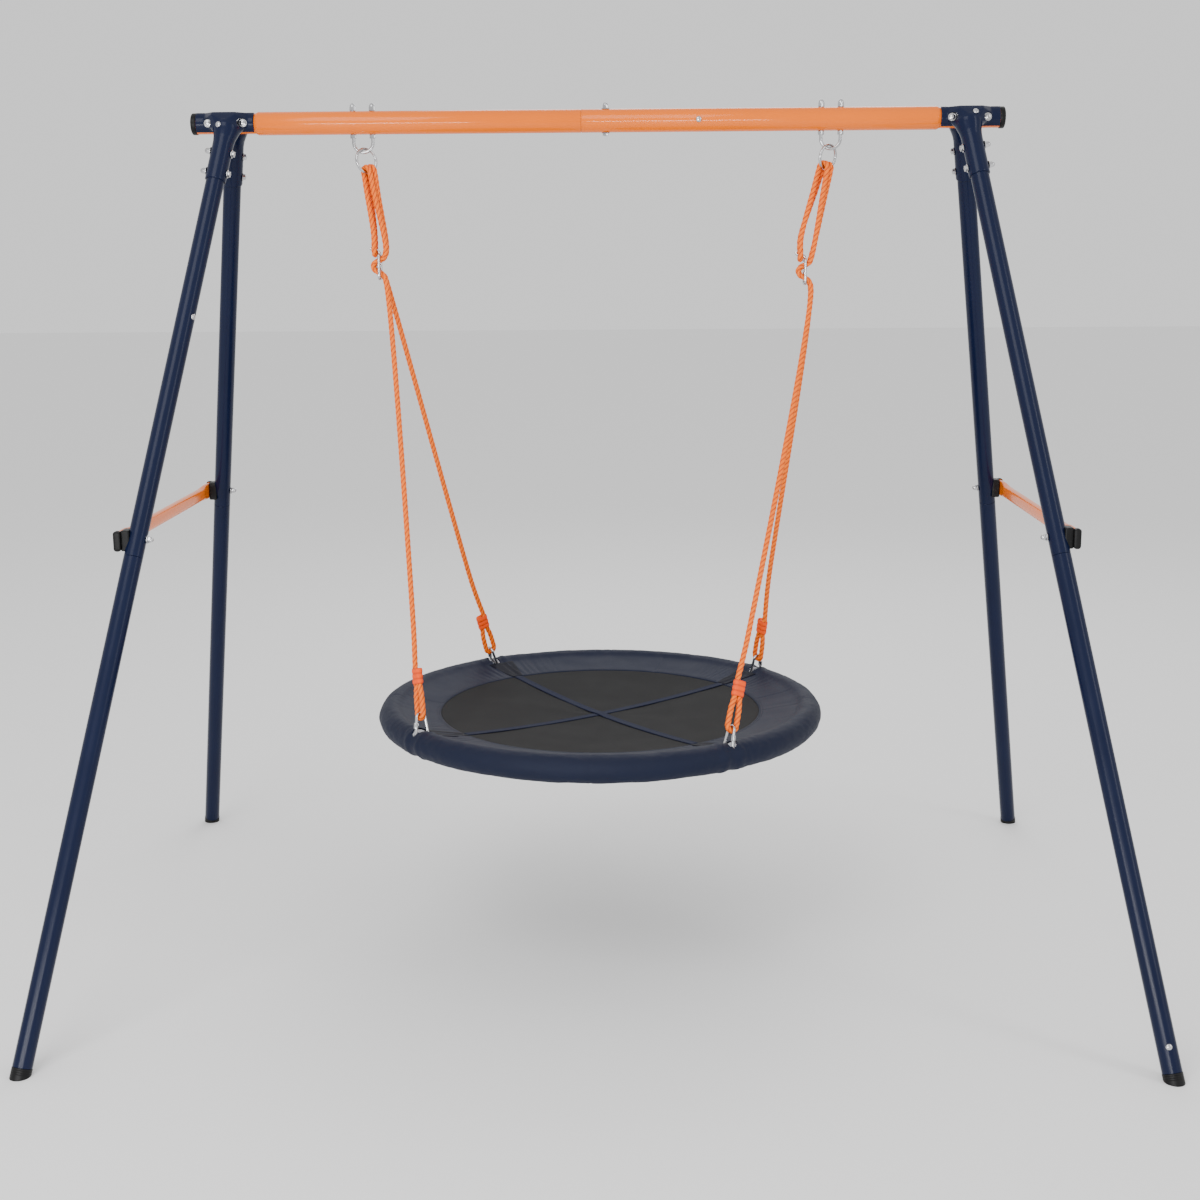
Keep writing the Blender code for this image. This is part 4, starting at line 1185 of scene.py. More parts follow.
@dataclass
class Crossbar:
    """The two-piece crossbar with its caps, brackets and every fastener of the frame."""

    shop: Workshop
    legs: Legs
    height: float = 1.79
    radius: float = 0.024
    end_radius: float = 0.021
    wall: float = 0.0015
    swage: float = 0.7105
    end: float = 0.8455
    seam: float = -0.031
    cap_face: float = 0.852
    bracket: tuple[float, float] = (0.7175, 0.840)
    bracket_wall: float = 0.0027
    bracket_reach: float = 0.0120
    bracket_tilt: float = math.radians(10.0)
    ledge_x: tuple[float, float] = (0.7515, 0.8005)
    ledge: tuple[tuple[float, float], ...] = ((0.010, 0.0222), (0.036, 0.0222), (0.043, 0.0165), (0.010, -0.012))
    flare_x: tuple[float, float] = (0.7290, 0.8230)
    flare: tuple[tuple[float, float], ...] = ((0.0095, 0.0218), (0.0222, 0.0070), (0.0225, -0.0050))
    sleeve_length: float = 0.142
    bolt_x: tuple[float, float] = (0.739, 0.8125)
    joint_bolt_x: float = 0.020
    screw_x: float = 0.2145
    low_screw_height: float = 0.059
    rivet_height: float = 1.396
    screw_places: list[tuple[Vector, Vector]] = field(default_factory=list)

    def build(self) -> None:
        """Build the bar, its brackets and the frame's fasteners."""
        for side_name, side in SIDES.items():
            self.build_tube(side_name, side)
            for end_name, end in ENDS.items():
                self.build_bracket(f"{end_name}_{side_name}", side, end)
        self.build_fasteners()

    def build_tube(self, side_name: str, side: int) -> None:
        """One half of the bar with its swaged end, and the cap in it.

        Args:
            side_name: left or right.
            side: -1 on the left, 1 on the right.
        """
        matrix = frame_along(Vector((0.0, 0.0, self.height)), Vector((side, 0.0, 0.0)), UP)
        seam = side * self.seam
        inner = self.radius - self.wall
        end_inner = self.end_radius - self.wall
        profile = [(end_inner, self.end), (self.end_radius, self.end), (self.end_radius, self.swage + 0.006),
                   (self.end_radius + 0.0008, self.swage + 0.0045), (self.radius - 0.0008, self.swage + 0.0015),
                   (self.radius, self.swage), (self.radius, seam + 0.0010), (self.radius - 0.0005, seam + 0.0003),
                   (inner, seam + 0.0003), (inner, self.swage), (end_inner, self.swage + 0.006)]
        tube = new_piece(f"crossbar_tube_{side_name}", mesh_from(lathe(profile, matrix, 72, closed=True)),
                         self.shop.palette.orange)
        self.shop.hand_over(tube, Body.FRAME, Slot.ORANGE_STEEL, f"crossbar_{side_name}")
        rim = self.end_radius + 0.0014
        bore = self.end_radius + 0.0002
        skirt = self.bracket[1] + 0.0004
        plug = end_inner - 0.0003
        cap = [(0.0, self.cap_face), (rim * 0.7, self.cap_face - 0.0002), (rim - 0.0025, self.cap_face - 0.0007),
               (rim - 0.0006, self.cap_face - 0.0020), (rim, self.cap_face - 0.0035), (rim, skirt + 0.0004),
               (rim - 0.0003, skirt), (bore, skirt), (bore, self.end + 0.0003), (plug, self.end + 0.0003),
               (plug, self.end - 0.012),
               (0.0, self.end - 0.012)]
        lid = new_piece(f"crossbar_end_cap_{side_name}", mesh_from(lathe(cap, matrix, 56)),
                        self.shop.palette.plastic)
        self.shop.hand_over(lid, Body.FRAME, Slot.BLACK_PLASTIC, f"crossbar_cap_{side_name}")

    def build_bracket(self, key: str, side: int, end: int) -> None:
        """A saddle on the bar that flows into a sleeve over the leg's top.

        Args:
            key: End and side, such as front_left.
            side: -1 on the left, 1 on the right.
            end: -1 at the front, 1 at the rear.
        """
        clearance = self.end_radius + 0.0005
        origin, direction = self.legs.axis(side, end)
        leg_frame = frame_along(origin, direction)
        sleeve = self.legs.radius + self.bracket_wall
        axis_frame = frame_along(Vector((0.0, 0.0, self.height)), Vector((side, 0.0, 0.0)), UP)
        saddle = lathe([(0.0, self.bracket[1]), (clearance + self.bracket_wall, self.bracket[1]),
                        (clearance + self.bracket_wall, self.bracket[0]), (0.0, self.bracket[0])], axis_frame, 72)
        neck = lathe([(0.0, 0.006), (0.020, 0.008), (0.0265, 0.015), (0.0290, 0.022), (0.0280, 0.029),
                      (0.0255, 0.037), (0.0230, 0.046), (sleeve, 0.057),
                      (sleeve, self.sleeve_length), (0.0, self.sleeve_length)], leg_frame, 56)
        shoulder = self.shoulder(side, end, clearance + self.bracket_wall)
        name = f"bracket_{key}"
        piece = new_piece(f"{name}_casting", mesh_from(saddle), self.shop.palette.navy)
        trim = bmesh.new()
        bmesh.ops.create_cube(trim, size=1.0, matrix=Matrix.Translation((side * 0.78, 0.0, self.height))
                              @ Matrix.Rotation(end * self.bracket_tilt, 4, "X")
                              @ Matrix.Translation((0.0, end * (self.bracket_reach - 0.05), 0.0))
                              @ Matrix.Diagonal((0.3, 0.1, 0.1, 1.0)))
        bar = lathe([(0.0, 0.95), (clearance, 0.95), (clearance, 0.6), (0.0, 0.6)], axis_frame, 72)
        bore = lathe([(0.0, self.legs.start - 0.0003), (self.legs.radius + 0.0004, self.legs.start - 0.0003),
                      (self.legs.radius + 0.0004, 0.2), (0.0, 0.2)], leg_frame, 56)
        spots = [spot_face(Vector((side * x, end * (clearance + self.bracket_wall), self.height)), end)
                 for x in self.bolt_x]
        steps = [("DIFFERENCE", trim), ("UNION", neck), ("UNION", shoulder), ("REMESH", None),
                 ("DIFFERENCE", bar),
                 ("DIFFERENCE", bore), *(("DIFFERENCE", spot) for spot in spots)]
        carve(piece, steps)
        piece.data.shade_smooth()
        piece.data.set_sharp_from_angle(angle=math.radians(50.0))
        self.shop.hand_over(piece, Body.FRAME, Slot.NAVY_STEEL, name)
        if end < 0:
            self.screw_places.append(self.find_screw_place(piece, side))

    def shoulder(self, side: int, end: int, radius: float) -> bmesh.types.BMesh:
        """The sloping web that carries the saddle's face down into the neck.

        Args:
            side: -1 on the left, 1 on the right.
            end: -1 at the front, 1 at the rear.
            radius: Outer radius of the saddle.

        Returns:
            The web.
        """
        bm = bmesh.new()
        top = [(x, -y, z) for spread, points in ((self.ledge_x, self.ledge), (self.flare_x, self.flare))
               for x in spread for y, z in points]
        origin, direction = self.legs.axis(1, 1)
        level = frame_along(origin, direction)
        for height, reach in ((0.020, 0.0282), (0.032, 0.0262)):
            for step in range(12):
                angle = 2 * math.pi * step / 12
                point = level @ Vector((reach * math.cos(angle), reach * math.sin(angle), height))
                top.append((point.x, -point.y, point.z - self.height))
        for x, y, z in top:
            bm.verts.new((side * x, -end * y, self.height + z))
        hull = bmesh.ops.convex_hull(bm, input=bm.verts)
        loose = [item for item in hull["geom_interior"] if isinstance(item, bmesh.types.BMVert)]
        bmesh.ops.delete(bm, geom=loose, context="VERTS")
        bmesh.ops.recalc_face_normals(bm, faces=bm.faces)
        return bm

    def find_screw_place(self, piece: bpy.types.Object, side: int) -> tuple[Vector, Vector]:
        """Point and facing of the small screw on the front of a bracket.

        Args:
            piece: The finished bracket.
            side: -1 on the left, 1 on the right.

        Returns:
            Its point and facing.
        """
        lift = 0.0095 if side > 0 else -0.0045
        start = Vector((side * 0.783, -0.2, self.height + lift))
        _, point, normal, _ = piece.ray_cast(start, Vector((0.0, 1.0, 0.0)))
        return point + normal * 0.0004, normal

    def build_fasteners(self) -> None:
        """Bolt heads, cap nuts and screws of the whole frame, in three pieces."""
        heads: list[tuple[Vector, Vector]] = []
        nuts: list[tuple[Vector, Vector]] = []
        screws: list[tuple[Vector, Vector]] = list(self.screw_places)
        front = Vector((0.0, -1.0, 0.0))
        face = self.end_radius + 0.0005 + self.bracket_wall + 0.0003
        nodes = ["crossbar_joint_bolt"]
        heads.append((Vector((self.joint_bolt_x, 0.0, self.height - self.radius - 0.0003)), -UP))
        nuts.append((Vector((self.joint_bolt_x, 0.0, self.height + self.radius + 0.0003)), UP))
        screws.append((Vector((self.screw_x, -self.radius - 0.0006, self.height)), front))
        for side_name, side in SIDES.items():
            for place, x in zip(("inner", "outer"), self.bolt_x):
                nodes.append(f"bracket_bolt_{place}_{side_name}")
                heads.append((Vector((side * x, -face, self.height)), front))
                nuts.append((Vector((side * x, face, self.height)), -front))
            for end_name, end in ENDS.items():
                key = f"{end_name}_{side_name}"
                nodes += [f"leg_bolt_{key}", f"brace_bolt_{key}"]
                self.leg_fasteners(side, end, heads, nuts)
        screws.append(self.leg_screw(1, -1, self.low_screw_height))
        screws.append(self.leg_screw(-1, -1, self.rivet_height))
        models = ((FastenerModels.bolt_head(), heads, "bolt_heads", nodes),
                  (FastenerModels.acorn_nut(), nuts, "cap_nuts", ()),
                  (FastenerModels.round_screw(), screws, "round_screws", ()))
        for model, places, name, replaced in models:
            piece = self.shop.tools.fasteners(name, model, places, self.shop.palette.zinc)
            self.shop.hand_over(piece, Body.FRAME, Slot.ZINC_STEEL, *replaced)

    def leg_fasteners(self, side: int, end: int, heads: list, nuts: list) -> None:
        """Add both cross bolts and the brace bolt of one leg.

        Args:
            side: -1 on the left, 1 on the right.
            end: -1 at the front, 1 at the rear.
            heads: Places of bolt heads, added to.
            nuts: Places of nuts, added to.
        """
        legs = self.legs
        outward = legs.outward(side, end)
        reach = outward * (legs.radius + self.bracket_wall + 0.0004)
        for height in legs.bolt_heights:
            centre = legs.point(side, end, height)
            heads.append((centre - reach, -outward))
            nuts.append((centre + reach, outward))
        axis_point = legs.point(side, end, legs.brace_height)
        outer_x = legs.brace_face(side) + side * (legs.brace_end[0] + 0.0003)
        inner_x = axis_point.x - side * (legs.radius + 0.0012)
        heads.append((Vector((outer_x, axis_point.y, axis_point.z)), Vector((side, 0.0, 0.0))))
        nuts.append((Vector((inner_x, axis_point.y, axis_point.z)), Vector((-side, 0.0, 0.0))))

    def leg_screw(self, side: int, end: int, height: float) -> tuple[Vector, Vector]:
        """A round screw in the face of a leg that looks to the front.

        Args:
            side: -1 on the left, 1 on the right.
            end: -1 at the front, 1 at the rear.
            height: Height above the floor.

        Returns:
            Its point and facing.
        """
        direction = self.legs.axis(side, end)[1]
        sideways = 0.0 if height < 1.0 else 1.0
        out = Vector((sideways * 0.9, -1.0 + 0.6 * sideways, 0.0))
        out = (out - direction * out.dot(direction)).normalized()
        return self.legs.point(side, end, height) + out * (self.legs.radius + 0.0003), out


def spot_face(face: Vector, end: int) -> bmesh.types.BMesh:
    """A cutter that levels the casting round one bolt."""
    matrix = frame_along(face, Vector((0.0, end, 0.0)))
    return lathe([(0.0, 0.03), (0.0096, 0.03), (0.0096, 0.0), (0.0, 0.0)], matrix, 32)


def carve(piece: bpy.types.Object, steps: Sequence[tuple[str, bmesh.types.BMesh | None]],
          voxel: float = 0.0013) -> None:
    """Join to and cut from a piece in order; a remesh step rounds what is joined so far.

    Args:
        piece: The object.
        steps: Operation and tool of each step, in order.
        voxel: Voxel size of the remesh.
    """
    for operation, bm in steps:
        if operation == "REMESH":
            remesh = piece.modifiers.new("skin", "REMESH")
            remesh.mode = "VOXEL"
            remesh.voxel_size = voxel
            smooth = piece.modifiers.new("ease", "SMOOTH")
            smooth.factor = 0.5
            smooth.iterations = 7
            apply_modifiers(piece)
            continue
        tool = new_piece("carving_tool", mesh_from(bm), None)
        boolean = piece.modifiers.new("carve", "BOOLEAN")
        boolean.operation = operation
        boolean.object = tool
        apply_modifiers(piece)
        bpy.data.objects.remove(tool, do_unlink=True)


@dataclass
class Hangers:
    """U-bolts, rings, adjusters and ropes on both sides."""

    shop: Workshop
    bar_height: float = 1.79
    bar_radius: float = 0.024
    hanger_x: float = 0.491
    leg_spacing: float = 0.0405
    u_wire: float = 0.0035
    u_bottom: float = 1.7295
    ring_radius: float = 0.025
    ring_wire: float = 0.003
    ring_twist: float = math.radians(46.0)
    ring_lean: float = math.radians(12.0)
    ring_gap: float = 0.0011
    ring_rope_gap: float = 0.0021
    rope_radius: float = 0.006
    rope_pitch: float = 0.0123
    rope_gap: float = 0.0011
    rope_turns: float = 27.0
    lobe_depth: float = 0.20
    adjuster_places: tuple[tuple[float, float], ...] = ((-0.464, 1.493), (0.4415, 1.477))
    finger_radius: float = 0.0028
    finger_x: float = -0.0098
    finger_height: float = 0.0345
    adjuster_width: float = 0.0382
    adjuster_length: float = 0.058
    adjuster_bar: float = 0.006
    seat_radius: float = 0.461
    seat_height: float = 0.517
    seat_yaw: float = math.radians(-8.5)
    attach_angle: float = math.radians(46.5)
    link_radius: float = 0.0176
    link_top_radius: float = 0.0104
    link_length: float = 0.046
    link_wire: float = 0.003
    eye_half_width: float = 0.011
    whipping_start: float = 0.125
    whipping_length: float = 0.033

    def build(self) -> None:
        """Build both hangers and everything on their ropes."""
        for side_name, side in SIDES.items():
            self.build_u_bolt(side_name, side)
            self.build_ring(side_name, side)
            self.build_adjuster(side_name, side)
            for end_name, end in ENDS.items():
                key = f"{end_name}_{side_name}"
                self.build_link(key, side, end)
                self.build_whipping(key, side, end)
            self.build_rope(side_name, side)

    def build_u_bolt(self, side_name: str, side: int) -> None:
        """A bent round rod with hex nuts under the bar and cap nuts over it.

        Args:
            side_name: left or right.
            side: -1 on the left, 1 on the right.
        """
        centre = side * self.hanger_x
        bend = self.leg_spacing / 2
        bend_height = self.u_bottom + bend
        top = self.bar_height + self.bar_radius + 0.006
        path = [Vector((centre - bend, 0.0, top)), Vector((centre - bend, 0.0, bend_height + 0.02))]
        path += [Vector((centre + bend * math.cos(math.pi + math.pi * step / 24), 0.0,
                         bend_height + bend * math.sin(math.pi + math.pi * step / 24))) for step in range(25)]
        path += [Vector((centre + bend, 0.0, bend_height + 0.02)), Vector((centre + bend, 0.0, top))]
        rod = self.shop.tools.sweep(f"u_rod_{side_name}", [path], self.u_wire, self.shop.palette.zinc,
                                    sides=24, step=0.0015)
        self.shop.hand_over(rod, Body.FRAME, Slot.ZINC_STEEL, f"u_bolt_{side_name}")
        low = [(Vector((centre + sense * bend, 0.0, self.bar_height - self.bar_radius - 0.0003)), -UP)
               for sense in (-1, 1)]
        high = [(Vector((centre + sense * bend, 0.0, self.bar_height + self.bar_radius + 0.0003)), UP)
                for sense in (-1, 1)]
        plain_nut = mesh_from(hex_ring(0.0070, 0.0078, 0.0006))
        tall_cap = joined([hex_ring(0.0072, 0.0085, 0.0006), lathe(
            [(0.0060 * math.cos(step * math.pi / 12), 0.0080 + 0.0078 * math.sin(step * math.pi / 12))
             for step in range(6, -1, -1)] + [(0.0, 0.0078)], Matrix(), 24)])
        for name, model, places in (("u_nuts", plain_nut, low), ("u_cap_nuts", tall_cap, high)):
            piece = self.shop.tools.fasteners(f"{name}_{side_name}", model, places, self.shop.palette.zinc)
            self.shop.hand_over(piece, Body.FRAME, Slot.ZINC_STEEL)

    def ring_turn(self, side: int) -> Matrix:
        """How a hanging ring is turned: twisted about Z, then pulled inward by the rope."""
        return Matrix.Rotation(side * self.ring_lean, 3, "Y") @ Matrix.Rotation(self.ring_twist, 3, "Z")

    def ring_point(self, side: int, angle: float) -> Vector:
        """Point on a ring's centreline; a quarter turn is its top.

        Args:
            side: -1 on the left, 1 on the right.
            angle: Angle round the ring.

        Returns:
            The point.
        """
        top = Vector((side * self.hanger_x, 0.0, self.u_bottom + self.u_wire + self.ring_wire + self.ring_gap))
        offset = Vector((self.ring_radius * math.cos(angle), 0.0, self.ring_radius * (math.sin(angle) - 1.0)))
        return top + self.ring_turn(side) @ offset

    def build_ring(self, side_name: str, side: int) -> None:
        """A welded round ring.

        Args:
            side_name: left or right.
            side: -1 on the left, 1 on the right.
        """
        path = [self.ring_point(side, 2 * math.pi * step / 96) for step in range(96)]
        ring = self.shop.tools.sweep(f"welded_ring_{side_name}", [path], self.ring_wire, self.shop.palette.zinc,
                                     sides=24, step=0.0016, cyclic=True)
        body = Body.RING_LEFT if side < 0 else Body.RING_RIGHT
        self.shop.hand_over(ring, body, Slot.ZINC_STEEL, f"ring_{side_name}")

    def adjuster_point(self, side: int, x: float, y: float, z: float) -> Vector:
        """Point given from the middle of one rope adjuster."""
        middle_x, height = self.adjuster_places[0 if side < 0 else 1]
        return Vector((middle_x + x, y, height + z))

    def build_adjuster(self, side_name: str, side: int) -> None:
        """A figure of eight in round wire, with the finger that holds the rope's bight.

        Args:
            side_name: left or right.
            side: -1 on the left, 1 on the right.
        """
        wire = self.adjuster_bar / 2
        half_y = self.adjuster_width / 2 - wire
        half_z = self.adjuster_length / 2 - wire
        corner = 0.0062
        outline = []
        for quarter, (sign_y, sign_z) in enumerate(((1, 1), (-1, 1), (-1, -1), (1, -1))):
            for step in range(9):
                angle = (quarter + step / 8) * math.pi / 2
                y = sign_y * (half_y - corner) + corner * math.cos(angle)
                z = sign_z * (half_z - corner) + corner * math.sin(angle)
                outline.append(self.adjuster_point(side, 0.0, y, z))
        middle = [self.adjuster_point(side, 0.0, y, 0.0) for y in (-half_y, 0.0, half_y)]
        bend = [(0.0, 0.0262), (-0.001, 0.0305), (-0.0045, 0.0335), (-0.010, 0.0345), (-0.016, 0.0353),
                (-0.0185, 0.0375), (-0.019, 0.0405)]
        finger = smooth_path([self.adjuster_point(side, x, 0.0, z) for x, z in bend], 0.001)
        tools = self.shop.tools
        loop = tools.sweep(f"adjuster_wire_{side_name}", [outline], wire * 0.93, self.shop.palette.zinc,
                           sides=20, step=0.0016, cyclic=True)
        bars = tools.sweep(f"adjuster_bars_{side_name}", [middle, finger], self.finger_radius,
                           self.shop.palette.zinc, sides=20, step=0.0012)
        self.shop.hand_over(loop, Body.SEAT, Slot.ZINC_STEEL, f"adjuster_{side_name}")
        self.shop.hand_over(bars, Body.SEAT, Slot.ZINC_STEEL)

    def attach_azimuth(self, side: int, end: int) -> float:
        """Azimuth on the seat of one end of a rope."""
        return math.atan2(end * math.sin(self.attach_angle), side * math.cos(self.attach_angle)) + self.seat_yaw

    def attach_frame(self, side: int, end: int) -> Matrix:
        """Frame on the hoop at one end of a rope: Z up the rope, Y the link's normal.

        Args:
            side: -1 on the left, 1 on the right.
            end: -1 at the front, 1 at the rear.

        Returns:
            The frame.
        """
        azimuth = self.attach_azimuth(side, end)
        origin = Vector((self.seat_radius * math.cos(azimuth), self.seat_radius * math.sin(azimuth),
                         self.seat_height))
        up_rope = self.adjuster_point(side, 0.013, end * self.rope_pitch / 2, -0.036) - origin
        tangent = Vector((-math.sin(azimuth), math.cos(azimuth), 0.0))
        across = tangent.cross(up_rope)
        if across.x * math.cos(azimuth) + across.y * math.sin(azimuth) < 0.0:
            across = -across
        return frame_along(origin, up_rope, across)

    def build_link(self, key: str, side: int, end: int) -> None:
        """A long welded link from the hoop to the rope's eye, with its screw sleeve.

        Args:
            key: End and side, such as front_left.
            side: -1 on the left, 1 on the right.
            end: -1 at the front, 1 at the rear.
        """
        matrix = self.attach_frame(side, end)
        path = []
        for step in range(48):
            angle = 2 * math.pi * (step + 0.5) / 48
            radius = self.link_top_radius if step < 24 else self.link_radius
            lift = self.link_length + self.link_radius - radius if step < 24 else 0.0
            path.append(matrix @ Vector((radius * math.cos(angle), 0.0, lift + radius * math.sin(angle))))
        link = self.shop.tools.sweep(f"quick_link_{key}", [path], self.link_wire, self.shop.palette.zinc,
                                     sides=20, step=0.0016, cyclic=True)
        self.shop.hand_over(link, Body.SEAT, Slot.ZINC_STEEL, f"link_{key}")
        nut = hex_ring(0.0050, 0.012, 0.0005)
        leg_foot = Vector((self.link_radius, 0.0, 0.0))
        leg_top = Vector((self.link_top_radius, 0.0, self.link_length + self.link_radius - self.link_top_radius))
        placed = matrix @ frame_along(leg_foot.lerp(leg_top, 0.60), leg_top - leg_foot)
        bmesh.ops.transform(nut, matrix=placed, verts=nut.verts)
        sleeve = new_piece(f"link_sleeve_{key}", mesh_from(nut), self.shop.palette.zinc)
        self.shop.hand_over(sleeve, Body.SEAT, Slot.ZINC_STEEL)

    def seat_half_path(self, side: int, end: int) -> list[Vector]:
        """Controls from a rope's tail, round its eye, up to the adjuster's lower side.

        Args:
            side: -1 on the left, 1 on the right.
            end: -1 at the front, 1 at the rear.

        Returns:
            The controls.
        """
        frame_here = self.attach_frame(side, end)
        half = self.rope_pitch / 2
        link_top = self.link_length + self.link_radius
        eye_bottom = link_top - self.link_wire - self.rope_radius - self.rope_gap
        centre = eye_bottom + self.eye_half_width
        sleeve_end = self.whipping_start + self.whipping_length
        local = [(half, sleeve_end - 0.002), (half, self.whipping_start - 0.001), (0.0098, 0.100)]
        for index in range(7):
            angle = math.radians(15.0 - 35.0 * index)
            local.append((self.eye_half_width * math.cos(angle), centre + self.eye_half_width * math.sin(angle)))
        local += [(-0.0098, 0.100), (-half, self.whipping_start - 0.001), (-half, sleeve_end + 0.004),
                  (-0.003, sleeve_end + 0.045), (0.0, sleeve_end + 0.105)]
        return [frame_here @ Vector((0.0, across, height)) for across, height in local]

    def hanger_path(self, side: int, end: int) -> list[Vector]:
        """Controls of one strand from the adjuster, over the ring and down to the bight.

        Args:
            side: -1 on the left, 1 on the right.
            end: -1 at the front, 1 at the rear.

        Returns:
            The controls.
        """
        y = end * self.rope_pitch / 2
        controls = [self.adjuster_point(side, x, y, z) for x, z in (
            (0.0135, -0.036), (0.0085, -0.0205), (0.0, -0.0132), (-0.009, -0.0085), (-0.0135, 0.0),
            (-0.009, 0.0085), (0.0, 0.0128), (0.009, 0.0185), (0.0145, 0.034))]
        turn = self.ring_turn(side)
        along = turn @ Vector((1.0, 0.0, 0.0))
        across = turn @ Vector((0.0, -1.0, 0.0))
        up = turn @ UP
        radius = self.ring_wire + self.rope_radius + self.ring_rope_gap
        rise = self.rope_pitch ** 2 / (8 * self.ring_radius)
        centre = self.ring_point(side, -math.pi / 2) + along * end * self.rope_pitch / 2 + up * rise
        bight = self.rope_radius + self.finger_radius + self.rope_gap
        bight_entry = self.adjuster_point(side, self.finger_x, end * (bight + 0.0004), 0.068)
        controls.append(controls[-1].lerp(centre + across * radius, 0.70))
        for index in range(7):
            angle = math.radians(-12.0 + 34.0 * index)
            controls.append(centre + across * radius * math.cos(angle) + up * radius * math.sin(angle))
        controls.append(bight_entry.lerp(centre - across * radius, 0.70))
        controls.append(bight_entry)
        for angle in (0.0, math.radians(-45.0)):
            controls.append(self.adjuster_point(side, self.finger_x, end * bight * math.cos(angle),
                                                self.finger_height + bight * math.sin(angle)))
        return controls

    def rope_controls(self, side: int) -> list[Vector]:
        """Controls of a whole rope, from the front eye to the rear eye.

        Args:
            side: -1 on the left, 1 on the right.

        Returns:
            The controls.
        """
        front = self.seat_half_path(side, -1) + self.hanger_path(side, -1)
        rear = self.seat_half_path(side, 1) + self.hanger_path(side, 1)
        drop = self.finger_height - self.rope_radius - self.finger_radius - self.rope_gap
        return [*front, self.adjuster_point(side, self.finger_x, 0.0, drop), *reversed(rear)]

    def build_rope(self, side_name: str, side: int) -> None:
        """One continuous three-strand rope.

        Args:
            side_name: left or right.
            side: -1 on the left, 1 on the right.
        """
        path = smooth_path(self.rope_controls(side))
        rope = self.shop.tools.sweep(f"twisted_rope_{side_name}", [path], self.rope_radius,
                                     self.shop.palette.rope, sides=27, step=0.0028,
                                     lobe_depth=self.lobe_depth, turns=self.rope_turns)
        self.shop.hand_over(rope, Body.SEAT, Slot.ROPE, f"rope_{side_name}")

    def build_whipping(self, key: str, side: int, end: int) -> bpy.types.Object:
        """Twine bound round both parts of the rope, in three swelling bands, with painted shade in the dips
        between bands and turns.

        Args:
            key: End and side, such as front_left.
            side: -1 on the left, 1 on the right.
            end: -1 at the front, 1 at the rear.

        Returns:
            The whipping.
        """
        matrix = self.attach_frame(side, end) @ Matrix.Translation((0.0, 0.0, self.whipping_start))
        bm = bmesh.new()
        groove_values = []
        rings = []
        levels = 60
        for level in range(levels + 1):
            share = level / levels
            band = abs(math.sin(3 * math.pi * share))
            turn = abs(math.sin(22 * math.pi * share))
            swell = 0.0004 + 0.0012 * band ** 0.7 + 0.00025 * turn
            rings.append([bm.verts.new(matrix @ Vector((x, y, share * self.whipping_length)))
                          for x, y in slot_outline(self.rope_radius + 0.0003 + swell, self.rope_pitch / 2)])
            # groove_values mask the painted shade: darker in the dips between the three bands and between turns.
            groove_values += [1.0 - 0.55 * band - 0.45 * turn] * len(rings[-1])
        bridge_rings(bm, rings)
        inner = [[bm.verts.new(matrix @ Vector((x, y, height)))
                  for x, y in slot_outline(self.rope_radius + 0.0001, self.rope_pitch / 2)]
                 for height in (0.0, self.whipping_length)]
        groove_values += [0.0] * (2 * len(inner[0]))
        bridge_rings(bm, [rings[0], inner[0]])
        bridge_rings(bm, [inner[1], rings[-1]])
        bridge_rings(bm, [inner[0], inner[1]])
        bmesh.ops.recalc_face_normals(bm, faces=bm.faces)
        mesh = mesh_from(bm, 60.0)
        groove = mesh.attributes.new("groove", "FLOAT", "POINT")
        groove.data.foreach_set("value", groove_values)
        piece = new_piece(f"twine_binding_{key}", mesh, self.shop.palette.whipping)
        return self.shop.hand_over(piece, Body.SEAT, Slot.ROPE, f"whipping_{key}")


def slot_outline(radius: float, half_spacing: float, steps: int = 14) -> list[tuple[float, float]]:
    """Closed outline with half-round ends, its length along Y.

    Args:
        radius: Radius.
        half_spacing: Half the distance between the two ends' centres.
        steps: Steps in each round end.

    Returns:
        The outline, in order.
    """
    points = []
    for sense in (1, -1):
        for step in range(steps + 1):
            angle = math.pi * step / steps + (0.0 if sense == 1 else math.pi)
            points.append((radius * math.cos(angle), sense * half_spacing + radius * math.sin(angle)))
    return points


